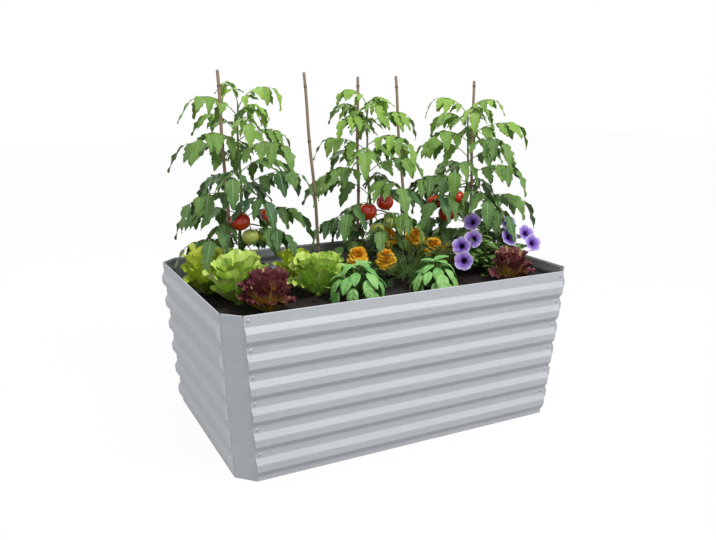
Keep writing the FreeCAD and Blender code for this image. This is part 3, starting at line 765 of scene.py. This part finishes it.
def tomato_foliage(side, seed):
    low, high = stem_ends(f"tomato_stem_{side}")
    box_low, box_high = (np.array(corner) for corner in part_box(f"tomato_foliage_{side}"))
    spread = (box_high[0] - box_low[0]) / 2
    rng = np.random.default_rng(seed)
    growth = Growth()
    for i in range(TOMATO_LEAVES):
        part_way = 0.14 + 0.86 * i / (TOMATO_LEAVES - 1)
        at = stem_point(low, high, part_way, seed)
        young = max(0.0, part_way - 0.45) / 0.55
        length = spread * rng.uniform(0.98, 1.22) * (1 - 0.36 * young ** 2)
        length *= min(1.0, 0.62 + part_way)
        rise = rng.uniform(14, 40) + 26 * young
        shade = 0.05 + 0.75 * young + rng.uniform(-0.15, 0.3)
        tomato_leaf(growth, at, seed * 40 + i * GOLDEN_TURN, rise, length, shade, rng)
    for i in range(LOW_TOMATO_LEAVES):
        at = stem_point(low, high, 0.10 + 0.022 * i, seed)
        length = spread * rng.uniform(0.42, 0.62)
        turn = 70 + i * GOLDEN_TURN
        tomato_leaf(growth, at, turn, rng.uniform(0, 40), length, rng.uniform(-0.1, 0.2), rng)
    materials = [tomato_leaf_finish, green_stem_finish]
    return growth.piece(f"tomato_leaves_{side}", [f"tomato_foliage_{side}"], "tomato_leaf", materials)


def tomato_stem(side, seed):
    """The stem, with the short stalks that carry the fruit."""
    node = f"tomato_stem_{side}"
    low, high = stem_ends(node)
    growth = Growth()
    ways = np.linspace(0, 1, 40)
    growth.tube([stem_point(low, high, w, seed) for w in ways], 0.0062 - 0.0038 * ways, 0, 10)
    for fruit in loose_solids(f"tomato_fruit_{side}"):
        centre, radius = middle_of(fruit), reach_of(fruit)[2]
        top = centre + [0, 0, radius * 0.9]
        bow = top + [0, 0, radius * 0.75]
        part_way = (bow[2] - low[2]) / (high[2] - low[2])
        root = stem_point(low, high, part_way, seed)
        bend = np.linspace(0, 1, 12)[:, None]
        path = root * (1 - bend) ** 2 + 2 * bow * bend * (1 - bend) + top * bend ** 2
        growth.tube(path, np.linspace(0.0024, 0.0017, 12), 0, 7)
    return growth.piece(f"tomato_stalk_{side}", [node], "tomato_stem", [green_stem_finish])


SIDES = {"left": 3, "middle": 5, "right": 8}
for side, seed in SIDES.items():
    tomato_foliage(side, seed)
    tomato_stem(side, seed)

# %% [markdown]
# ## Tomatoes
# A ripe tomato is a slightly flattened ball with a dimple at the stalk, a faint lobing round its
# shoulders and a five-armed green calyx. Its skin is tight and glossy, and it stays greener round
# the dimple. The low fruit on a truss ripen last here, so on the left and middle plants the ones below
# a set height stay green.

# %% Fruit
UNRIPE_BELOW = 0.556


def fruit_finish(name, body, shoulder):
    finish = Finish(name)
    along = finish.mark(1)
    cloud = finish.noise(24.0, 3.0)
    speck = finish.noise(700.0, 2.0)
    colour = finish.mix(body, shoulder, (along + cloud * 0.35).step(0.82, 1.18))
    return finish.surface(colour, 0.16 + cloud * 0.12, speck, 0.00003, Coat_Weight=0.4)


def fruit(growth, centre, radius, rng, paint):
    """One tomato and its calyx."""
    rows, columns = 26, 32
    rise = np.linspace(-np.pi / 2, np.pi / 2, rows)[:, None]
    turn = np.linspace(0, 2 * np.pi, columns, endpoint=False)[None]
    lobes = 1 + 0.022 * np.cos(turn * 5 + rng.uniform(0, 6)) * np.cos(rise) * (0.5 + 0.5 * np.sin(rise))
    r = radius * lobes * np.ones_like(rise)
    dimple = 0.16 * radius * np.exp(-((rise - np.pi / 2) / 0.42) ** 2)
    points = np.stack([
        r * np.cos(rise) * np.cos(turn),
        r * np.cos(rise) * np.sin(turn),
        r * 0.93 * np.sin(rise) - dimple,
    ], -1)
    marks = np.zeros_like(points)
    marks[..., 1] = np.linspace(0, 1, rows)[:, None]
    growth.grid(points + centre, marks, paint, closed=True)
    crown = centre + [0, 0, radius * 0.79]
    for i in range(5):
        shape, s, t = blade(radius * 0.95, radius * 0.13, pointed, 9, 3, droop=1.1, fold=0.3)
        out = heading(72 * i + rng.uniform(-12, 12), rng.uniform(18, 34))
        growth.grid(turned(shape, crown, out, [0, 0, 1]), marked(s, t, 0.4), 2)


ripe = fruit_finish("ripe_tomato", tone(216, 52, 22), tone(230, 108, 40))
unripe = fruit_finish("unripe_tomato", tone(204, 214, 104), tone(140, 178, 84))
for side, seed in SIDES.items():
    growth = Growth()
    rng = np.random.default_rng(seed + 100)
    for solid in loose_solids(f"tomato_fruit_{side}"):
        centre = middle_of(solid)
        green = side != "right" and centre[2] < UNRIPE_BELOW
        fruit(growth, centre, reach_of(solid)[2] * 0.99, rng, 1 if green else 0)
    materials = [ripe, unripe, green_stem_finish]
    growth.piece(f"tomatoes_{side}", [f"tomato_fruit_{side}"], "tomato_fruit", materials)

# %% [markdown]
# ## Lettuce
# A loose lettuce is a rosette: each leaf is a fan that starts narrow and thick at the core and
# opens into a broad, wavy edge. A fan is easier to bend than a long grid, because its whole far
# edge is one row of points, so ruffles run round it without a break. The inner leaves stand up
# and the outer ones lie back.


# %% Lettuce leaf
def fan(length, spread, rows, columns, cup, curl, frill, waves_round, phase):
    """A fan-shaped leaf: it rises as it goes out, curls back at the edge and ruffles there."""
    s, t = np.meshgrid(np.linspace(-1, 1, columns), np.linspace(0, 1, rows))
    angle = s * spread * (0.35 + 0.65 * t)
    edge = 1 - 0.16 * np.abs(s) ** 3 + 0.035 * np.sin(s * 9 + phase) * t
    out = length * t * edge
    bend = cup * t - curl * t ** 5
    middle = np.cumsum(np.cos(bend), 0) / rows
    lift = np.cumsum(np.sin(bend), 0) / rows
    x = out * np.cos(angle) * middle / np.maximum(t, 1 / rows)
    y = length * 0.10 * s * (1 - t) + out * np.sin(angle)
    hollow = 0.16 * length * (np.abs(s) ** 2) * np.sin(np.pi * np.minimum(t * 0.75, 1))
    ruffle = frill * length * t ** 3 * (
        np.sin(s * waves_round + phase + 2.0 * t) + 0.45 * np.sin(s * waves_round * 2.3 + phase * 3))
    blister = 0.016 * length * np.sin(s * 17 + phase) * np.sin(t * 21 + s * 5) * np.sin(np.pi * t)
    z = length * lift + hollow + ruffle + blister
    return np.stack([x, y, z], -1), s, t


def lettuce(name, node, finish, rng, frill, curl, waves_round, layers):
    """A rosette that fills its solid's box; layers lists leaves, rise, share of the full leaf."""
    low, high = (np.array(corner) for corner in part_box(node))
    centre = (low + high) / 2
    radius = (high[0] - low[0]) / 2
    growth = Growth()
    for layer, (count, rise, share) in enumerate(layers):
        for i in range(count):
            turn = 360 * (i + 0.5 * layer) / count + rng.uniform(-16, 16)
            tilt = rise + rng.uniform(-8, 8)
            length = radius * share * rng.uniform(0.88, 1.12)
            points, s, t = fan(
                length, rng.uniform(0.5, 0.72), 22, 33, 0.6, curl * rng.uniform(0.5, 1.3),
                frill * rng.uniform(0.7, 1.2), waves_round, rng.uniform(0, 6))
            out = heading(turn, tilt)
            up = heading(turn + 180, 90 - tilt)
            off = radius * (0.13 - 0.03 * layer)
            at = [centre[0], centre[1], soil_top + 0.006 + 0.004 * layer] + heading(turn, 0) * off
            shade = 0.15 + 0.18 * layer + rng.uniform(-0.15, 0.3)
            growth.grid(turned(points, at, out, up), marked(s, t, shade), 0)
    core = [centre[0], centre[1], soil_top - 0.004]
    growth.tube([core, core + np.array([0, 0, 0.02])], [radius * 0.16, radius * 0.12], 0, 12)
    return growth.piece(name, [node], frame_slot(node), [finish])


def frame_slot(node):
    """The material slot that the record gives a node."""
    rows = frame["record"]["subparts"]
    return next(row["material_slot"] for row in rows if row["node"] == node)


lettuce_green = leaf_finish(
    "lettuce_green", tone(132, 196, 64), tone(196, 228, 96), tone(218, 234, 156),
    veins=6.0, gloss=0.55,
    edge=tone(206, 230, 116), edge_from=0.95)
lettuce_yellow = leaf_finish(
    "lettuce_yellow", tone(172, 210, 52), tone(232, 240, 88), tone(232, 238, 160),
    veins=6.0, gloss=0.55)
lettuce_red = leaf_finish(
    "lettuce_red", tone(138, 150, 56), tone(206, 116, 58), tone(214, 190, 128),
    veins=6.0, gloss=0.55,
    edge=tone(118, 54, 66), edge_from=0.78)

# each layer: how many leaves, how far they rise in degrees, and their share of a full leaf
SMOOTH_LAYERS = [(5, 16, 1.15), (5, 38, 1.45), (5, 56, 1.62), (3, 72, 1.5)]
FRILLED_LAYERS = [(6, 20, 1.0), (6, 42, 1.22), (5, 58, 1.34), (3, 74, 1.2)]
GREEN_HEADS = {
    "lettuce_left": lettuce_yellow,
    "lettuce_centre_left": lettuce_green,
    "lettuce_middle": lettuce_green,
    "lettuce_back": lettuce_yellow,
    "lettuce_back_right": lettuce_yellow,
}
for number, (node, finish) in enumerate(GREEN_HEADS.items()):
    rng = np.random.default_rng(60 + number)
    lettuce(f"salad_{node}", node, finish, rng, 0.05, 0.7, 9.0, SMOOTH_LAYERS)
for number, node in enumerate(["red_lettuce_left", "red_lettuce_right"]):
    rng = np.random.default_rng(80 + number)
    lettuce(f"salad_{node}", node, lettuce_red, rng, 0.055, 0.5, 11.0, FRILLED_LAYERS)

# %% [markdown]
# ## Basil
# A basil leaf is a smooth oval that puffs up between its veins and turns down at the edges, and
# the leaves crowd into a dome. Real ones leave the stem in pairs. Only the dome's skin can be seen
# from outside, so here the leaves are spread over it in a spiral, from its top downwards. The
# puffing is part of the blade's shape, not only its shading.


# %% Basil
BASIL_LEAVES = 26


def basil_oval(s, t):
    return np.sin(np.pi * t ** 0.82) ** 0.72 + 0.015


def puffed(s, t, length):
    """How high the flesh stands between the side veins; the edges turn down."""
    cushions = np.abs(np.sin((t - np.abs(s) * 0.22) * np.pi * 4))
    return length * (0.045 * cushions * np.sin(np.pi * np.abs(s)) - 0.07 * s * s)


def basil(node, rng):
    """A dome of leaves that overlap like shingles, each pointing down and out from the middle."""
    low, high = (np.array(corner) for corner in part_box(node))
    foot = np.array([*((low + high) / 2)[:2], soil_top])
    half = (high - low)[0] / 2
    dome = half * np.array([0.66, 0.66, 0.0]) + [0, 0, (high[2] - soil_top) * 0.70]
    growth = Growth()
    for i in range(BASIL_LEAVES):
        down = math.radians(8 + 92 * (i / BASIL_LEAVES) ** 0.75)
        turn = math.radians(i * GOLDEN_TURN + rng.uniform(-10, 10))
        level = np.array([math.cos(turn), math.sin(turn), 0])
        face = level * math.sin(down) + np.array([0, 0, math.cos(down)])
        ahead = level * math.cos(down) - np.array([0, 0, math.sin(down)])
        length = dome[0] * (0.80 + 0.26 * i / BASIL_LEAVES) * rng.uniform(0.85, 1.15)
        skin = foot + face * dome * rng.uniform(0.82, 1.0) + [0, 0, dome[2] * 0.28]
        at = skin - ahead * length * 0.35
        points, s, t = blade(
            length, length * 0.30, basil_oval, 19, 11, droop=rng.uniform(0.4, 1.1), fold=0.35,
            ruffle=lambda s, t: puffed(s, t, length))
        lifted = ahead + face * rng.uniform(0.2, 0.8)
        tipped = face + level * rng.uniform(-0.4, 0.2)
        growth.grid(turned(points, at, lifted, tipped), marked(s, t, rng.uniform(0, 1)), 0)
        stalk = foot + (at - foot) * [0.3, 0.3, 0.6]
        growth.tube([foot + level * 0.002, stalk, at], [0.0026, 0.002, 0.0014], 1, 6)
    return growth.piece(f"herb_{node}", [node], "basil_leaf", [basil_finish, green_stem_finish])


basil_finish = leaf_finish(
    "basil_leaf", tone(92, 168, 78), tone(160, 214, 124), tone(186, 226, 158),
    veins=4.0, gloss=0.66)
for number, node in enumerate(["basil_left", "basil_right"]):
    basil(node, np.random.default_rng(90 + number))

# %% [markdown]
# ## Marigolds
# The bush is a cloud of finely divided dark leaves. Each bloom is a dome of short, broad petals
# in rings: the outer ring lies level, and each ring inside it stands up more and is smaller.
# Every petal's end is wavy, which is what makes the head look so full.


# %% Marigolds
# each ring: how many petals, how far they rise in degrees, and their share of the bloom's radius
MARIGOLD_RINGS = [
    (15, -8, 1.0), (14, 8, 0.94), (12, 26, 0.84), (10, 44, 0.72), (8, 60, 0.58), (5, 76, 0.42),
]


def petal_outline(s, t):
    """Broad for most of its length, and rounded off at the end."""
    broad = 0.28 + 0.72 * np.sin(np.pi * 0.5 * np.minimum(t * 1.15, 1))
    return broad - 0.35 * np.maximum(0, t - 0.86) / 0.14


def petal_finish(name, inner, outer, heart):
    finish = Finish(name)
    across, along, shade = finish.mark(0), finish.mark(1), finish.mark(2)
    fibre = finish.noise(300.0, 3.0)
    colour = finish.mix(inner, outer, (along + fibre * 0.3 - 0.1).clamped())
    colour = finish.mix(colour, heart, (1 - shade) * 0.55)
    grooves = (across * 26.0).sine() * 0.5 + fibre
    return finish.surface(colour, 0.55 + fibre * 0.1, grooves, 0.0003)


def marigold_bloom(growth, centre, radius, rng):
    facing = np.array([rng.uniform(-0.35, 0.1), rng.uniform(-0.75, -0.25), 1.0])
    up = unit(facing)
    side = unit(np.cross(up, [0.2, 1, 0]))
    ahead = np.cross(up, side)
    for ring, (count, rise, share) in enumerate(MARIGOLD_RINGS):
        for i in range(count):
            turn = 2 * np.pi * (i + 0.5 * ring) / count + rng.uniform(-0.12, 0.12)
            level = side * math.cos(turn) + ahead * math.sin(turn)
            tilt = math.radians(rise + rng.uniform(-9, 9))
            out = level * math.cos(tilt) + up * math.sin(tilt)
            face = up * math.cos(tilt) - level * math.sin(tilt)
            length = radius * share * rng.uniform(0.9, 1.1)
            phase = rng.uniform(0, 6)
            points, s, t = blade(
                length, length * 0.33, petal_outline, 9, 7, droop=rng.uniform(0.0, 0.6), fold=-0.1,
                ruffle=lambda s, t: 0.09 * length * np.sin(s * 6 + phase) * t ** 3)
            at = centre + up * radius * (0.16 * ring - 0.18) + level * radius * 0.05
            growth.grid(turned(points, at, out, face), marked(s, t, 0.25 + 0.75 * share), 0)
    cup = [centre - up * radius * 0.62, centre - up * radius * 0.3, centre - up * radius * 0.08]
    growth.tube(cup, [radius * 0.13, radius * 0.24, radius * 0.26], 1, 10)


def fern_leaf(growth, at, turn, rise, length, shade, rng):
    """A divided leaf with many narrow, toothed leaflets."""
    steps = 9
    path = [np.asarray(at, float)]
    for i in range(steps):
        path.append(path[-1] + heading(turn, rise - 55 * (i / steps) ** 1.5) * (length / steps))
    path = np.array(path)
    growth.tube(path, np.linspace(0.0011, 0.0005, steps + 1), 1, 4)
    for i in range(2, steps + 1):
        ahead = unit(path[i] - path[i - 1])
        side = unit(np.cross(ahead, [0, 0, 1]))
        size = length * (0.34 - 0.02 * abs(i - 5)) * rng.uniform(0.85, 1.1)
        for way in (1, -1):
            out = ahead * 0.75 + side * way * 0.8 + np.array([0, 0, rng.uniform(-0.25, 0.15)])
            droop = rng.uniform(0.1, 0.8)
            points, s, t = blade(size, size * 0.13, toothed, 9, 3, droop=droop, fold=0.3)
            growth.grid(turned(points, path[i], out, [0, 0, 1]), marked(s, t, shade), 0)


def bowed(start, end, bow, steps):
    """A stem's path from start to end that rises first and leans over later."""
    bend = np.linspace(0, 1, steps)[:, None]
    middle = start * 0.6 + end * 0.4 + np.array([0, 0, bow])
    return start * (1 - bend) ** 2 + 2 * middle * bend * (1 - bend) + end * bend ** 2


fern_finish = leaf_finish(
    "fern_leaf", tone(34, 62, 34), tone(78, 112, 58), tone(96, 128, 78), veins=4.0)
marigold_petals = petal_finish(
    "marigold_petal", tone(252, 158, 10), tone(255, 208, 48), tone(244, 136, 8))
MARIGOLD_LEAVES = 96


def marigolds():
    rng = np.random.default_rng(21)
    flowers = Growth()
    bush = Growth()
    low, high = (np.array(corner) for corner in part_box("marigold_foliage"))
    centres = [middle_of(solid) for solid in loose_solids("marigold_flowers")]
    radii = [reach_of(solid)[0] for solid in loose_solids("marigold_flowers")]
    foot = np.array([(low[0] + high[0]) / 2, (low[1] + high[1]) / 2, soil_top])
    for centre, radius in zip(centres, radii):
        marigold_bloom(flowers, centre, radius, rng)
        root = foot + np.array([*(centre - foot)[:2] * 0.15, 0])
        stalk = bowed(root, centre - [0, 0, radius * 0.5], 0.03, 12)
        bush.tube(stalk, np.linspace(0.0024, 0.0016, 12), 1, 7)
    for i in range(MARIGOLD_LEAVES):
        share = math.sqrt((i + 0.5) / MARIGOLD_LEAVES)
        turn = i * GOLDEN_TURN
        spread = (high - low)[:2] / 2
        out = heading(turn, 0)[:2] * spread * share * 0.78
        height = (high[2] - soil_top) * (0.1 + 0.5 * (1 - share ** 2) + rng.uniform(0, 0.3))
        at = foot + np.array([*out, height])
        fern_leaf(bush, at, turn + rng.uniform(-30, 30), rng.uniform(10, 60), rng.uniform(0.06, 0.09),
                  rng.uniform(0, 1), rng)
        stalk = bowed(foot + np.array([*out * 0.25, 0]), at, 0.01, 6)
        bush.tube(stalk, np.linspace(0.0018, 0.0011, 6), 1, 5)
    green = [fern_finish, green_stem_finish]
    bush.piece("marigold_bush", ["marigold_foliage"], "marigold_foliage", green)
    orange = [marigold_petals, fern_finish]
    flowers.piece("marigold_blooms", ["marigold_flowers"], "marigold_flowers", orange)


marigolds()

# %% [markdown]
# ## Petunias
# A petunia is a trumpet: five petals grown into one sheet, nearly flat at the mouth and narrow
# at the throat, where its violet goes almost black. A polar grid is made for this: rows of points
# go round the flower, the outer ones wavy and scalloped into five lobes.


# %% Petunias
PETUNIA_RADIUS = 0.030
PETUNIA_PUSH = 0.012


def petunia_finish():
    finish = Finish("petunia_petal")
    turn, along = finish.mark(0), finish.mark(1)
    vein = 1 - abs(((turn * 2.5 + 0.5).fraction() - 0.5)).step(0.0, 0.12)
    fine = finish.noise(220.0, 3.0)
    violet = finish.mix(tone(122, 78, 188), tone(190, 168, 234), along.step(0.45, 1.0))
    violet = finish.mix(violet, tone(224, 212, 246), (along + fine * 0.1).step(0.93, 1.06))
    colour = finish.mix(violet, tone(58, 18, 92), vein * (1 - along.step(0.55, 1.0)))
    colour = finish.mix(tone(28, 8, 44), colour, (along + fine * 0.06).step(0.24, 0.46))
    return finish.surface(colour, 0.6, fine, 0.0003)


def petunia_bloom(growth, centre, radius, facing):
    rows, columns = 16, 50
    along = np.linspace(0.04, 1, rows)[:, None]
    turn = np.linspace(0, 2 * np.pi, columns, endpoint=False)[None]
    lobe = np.abs(np.cos(turn * 2.5))
    scallop = 1 - 0.13 * (1 - lobe) ** 2 * along ** 2
    out = radius * np.interp(along, [0, 0.3, 1], [0.06, 0.24, 1.0]) * scallop
    wave = 0.07 * radius * np.sin(turn * 5 + 1.0) * along ** 3
    wave = wave + 0.03 * radius * np.sin(turn * 11) * along ** 4
    throat = radius * 1.15 * (1 - np.clip(along / 0.42, 0, 1)) ** 1.2
    back = -throat - 0.22 * radius * (1 - along) + wave
    up = unit(facing)
    side = unit(np.cross(up, [0.3, 1, 0.1]))
    other = np.cross(up, side)
    points = (side * (out * np.cos(turn))[..., None] + other * (out * np.sin(turn))[..., None]
              + up * (back * np.ones_like(turn))[..., None])
    marks = np.zeros_like(points)
    marks[..., 0] = turn / np.pi - 1
    marks[..., 1] = along
    growth.grid(points + centre, marks, 0, closed=True)
    tail = centre - up * radius * 1.3
    growth.tube([tail - up * 0.004, tail + up * 0.006], [0.0022, 0.003], 1, 7)
    for i in range(5):
        shape, s, t = blade(radius * 0.55, radius * 0.07, pointed, 7, 3, droop=-0.5, fold=0.2)
        level = side * math.cos(1.26 * i) + other * math.sin(1.26 * i)
        growth.grid(turned(shape, tail, level * 0.6 + up, level - up * 0.3), marked(s, t, 0.6), 1)
    return tail


def oval(s, t):
    return np.sin(np.pi * t ** 0.8) ** 0.8 + 0.015


petunia_petals = petunia_finish()
petunia_green = leaf_finish(
    "petunia_leaf", tone(66, 112, 50), tone(138, 178, 88), tone(154, 186, 118), veins=5.0)
PETUNIA_LEAVES_EACH = 18


def petunias():
    rng = np.random.default_rng(33)
    flowers = Growth()
    bush = Growth()
    low, high = (np.array(corner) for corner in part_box("petunia_foliage"))
    solids = loose_solids("petunia_flowers")
    centres = [middle_of(solid) for solid in solids]
    foot = np.array([(low[0] + high[0]) / 2, (low[1] + high[1]) / 2, soil_top])
    for centre in centres:
        away = centre - foot
        facing = 0.45 * unit([away[0], away[1], 0]) + np.array([-0.45, -0.85, 0.5])
        mouth = centre + unit(facing) * PETUNIA_PUSH
        tail = petunia_bloom(flowers, mouth, PETUNIA_RADIUS, facing)
        root = foot + np.array([*away[:2] * 0.12, 0])
        path = bowed(root, tail, 0.09, 14)
        bush.tube(path, np.linspace(0.0024, 0.0014, 14), 1, 7)
        for i in range(PETUNIA_LEAVES_EACH):
            at = path[1 + i * 11 // PETUNIA_LEAVES_EACH] - [0, 0, rng.uniform(0, 0.03)]
            length = rng.uniform(0.035, 0.06)
            droop = rng.uniform(0.3, 1.1)
            points, s, t = blade(length, length * 0.26, oval, 11, 5, droop=droop, fold=0.25)
            out = heading(i * GOLDEN_TURN + away[0] * 900, rng.uniform(-5, 45))
            bush.grid(turned(points, at, out, [0, 0, 1]), marked(s, t, rng.uniform(0, 1)), 0)
    green = [petunia_green, green_stem_finish]
    bush.piece("petunia_bush", ["petunia_foliage"], "petunia_foliage", green)
    violet = [petunia_petals, petunia_green]
    flowers.piece("petunia_blooms", ["petunia_flowers"], "petunia_flowers", violet)


petunias()

# %% [markdown]
# ## Stage and light
# The picture's background is plain white. The floor is matt, and to the camera it is nearly all
# its own white, so it stays clean and takes only a faint shadow; to every other ray it is a mid
# grey, which keeps the undersides of the ribs dark. The sky is made the same way. The main lamp
# stands high at the front, so that the ribs' upper slopes are the brightest, and a weaker one
# behind the bed lifts the edges of the leaves.


# %% Floor, sky and lamps
FLOOR_GLOW = 0.95
FLOOR_HALF = 12.0
SKY_LEVEL = 0.66
WHITE = (1, 1, 1, 1)


def grey(level):
    return (level, level, level, 1)


RAYS = ("Camera", "Glossy", "Transmission")


def seen_directly(graph):
    """1 for rays that show a thing as it looks: to the camera, in a reflection or through glass."""
    path = [graph.node("ShaderNodeLightPath", out=f"Is {ray} Ray") for ray in RAYS]
    return path[0].math("MAXIMUM", path[0].math("MAXIMUM", path[0], path[1]), path[2])


def make_floor():
    finish = Finish("floor")
    pale = finish.node("ShaderNodeBsdfDiffuse", {}, {"Color": grey(0.98)})
    glow = finish.node("ShaderNodeEmission", {}, {"Color": WHITE})
    shown = finish.node("ShaderNodeMixShader", {}, {0: FLOOR_GLOW, 1: pale, 2: glow})
    matt = finish.node("ShaderNodeBsdfDiffuse", {}, {"Color": grey(0.32)})
    blend = {0: seen_directly(finish), 1: matt, 2: shown}
    both = finish.node("ShaderNodeMixShader", {}, blend)
    output = finish.tree.nodes.new("ShaderNodeOutputMaterial")
    finish.feed(output.inputs[0], both)
    mesh = bpy.data.meshes.new("floor")
    half = FLOOR_HALF
    corners = [(-half, -half, 0), (half, -half, 0), (half, half, 0), (-half, half, 0)]
    mesh.from_pydata(corners, [], [(0, 1, 2, 3)])
    mesh.materials.append(finish.material)
    floor = bpy.data.objects.new("floor", mesh)
    bpy.context.scene.collection.objects.link(floor)


def make_sky():
    world = bpy.data.worlds.new("sky")
    bpy.context.scene.world = world
    world.use_nodes = True
    graph = Graph(world.node_tree)
    plain = graph.node("ShaderNodeBackground", {}, {"Color": WHITE, "Strength": SKY_LEVEL})
    white = graph.node("ShaderNodeBackground", {}, {"Color": WHITE, "Strength": 1.0})
    both = graph.node("ShaderNodeMixShader", {}, {0: seen_directly(graph), 1: plain, 2: white})
    output = graph.tree.nodes.new("ShaderNodeOutputWorld")
    graph.feed(output.inputs[0], both)


def make_lamp(name, place, target, size, power):
    data = bpy.data.lights.new(name, "AREA")
    data.shape = "DISK"
    data.size = size
    data.energy = power
    lamp = bpy.data.objects.new(name, data)
    lamp.location = place
    lamp.rotation_mode = "QUATERNION"
    lamp.rotation_quaternion = (Vector(target) - Vector(place)).to_track_quat("-Z", "Y")
    bpy.context.scene.collection.objects.link(lamp)


make_floor()
make_sky()
make_lamp("key", (0.5, -2.2, 3.3), (0, 0, 0.4), 1.3, 68)
make_lamp("back", (-0.6, 2.6, 2.8), (0, 0, 0.6), 1.6, 20)
bpy.context.scene.view_settings.view_transform = "Standard"
print("lamps:", len(bpy.data.lights))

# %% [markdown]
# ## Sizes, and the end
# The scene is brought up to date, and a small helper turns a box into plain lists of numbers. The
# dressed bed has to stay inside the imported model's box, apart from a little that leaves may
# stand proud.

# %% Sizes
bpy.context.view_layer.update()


def plain(box):
    return [[float(value) for value in corner] for corner in box]
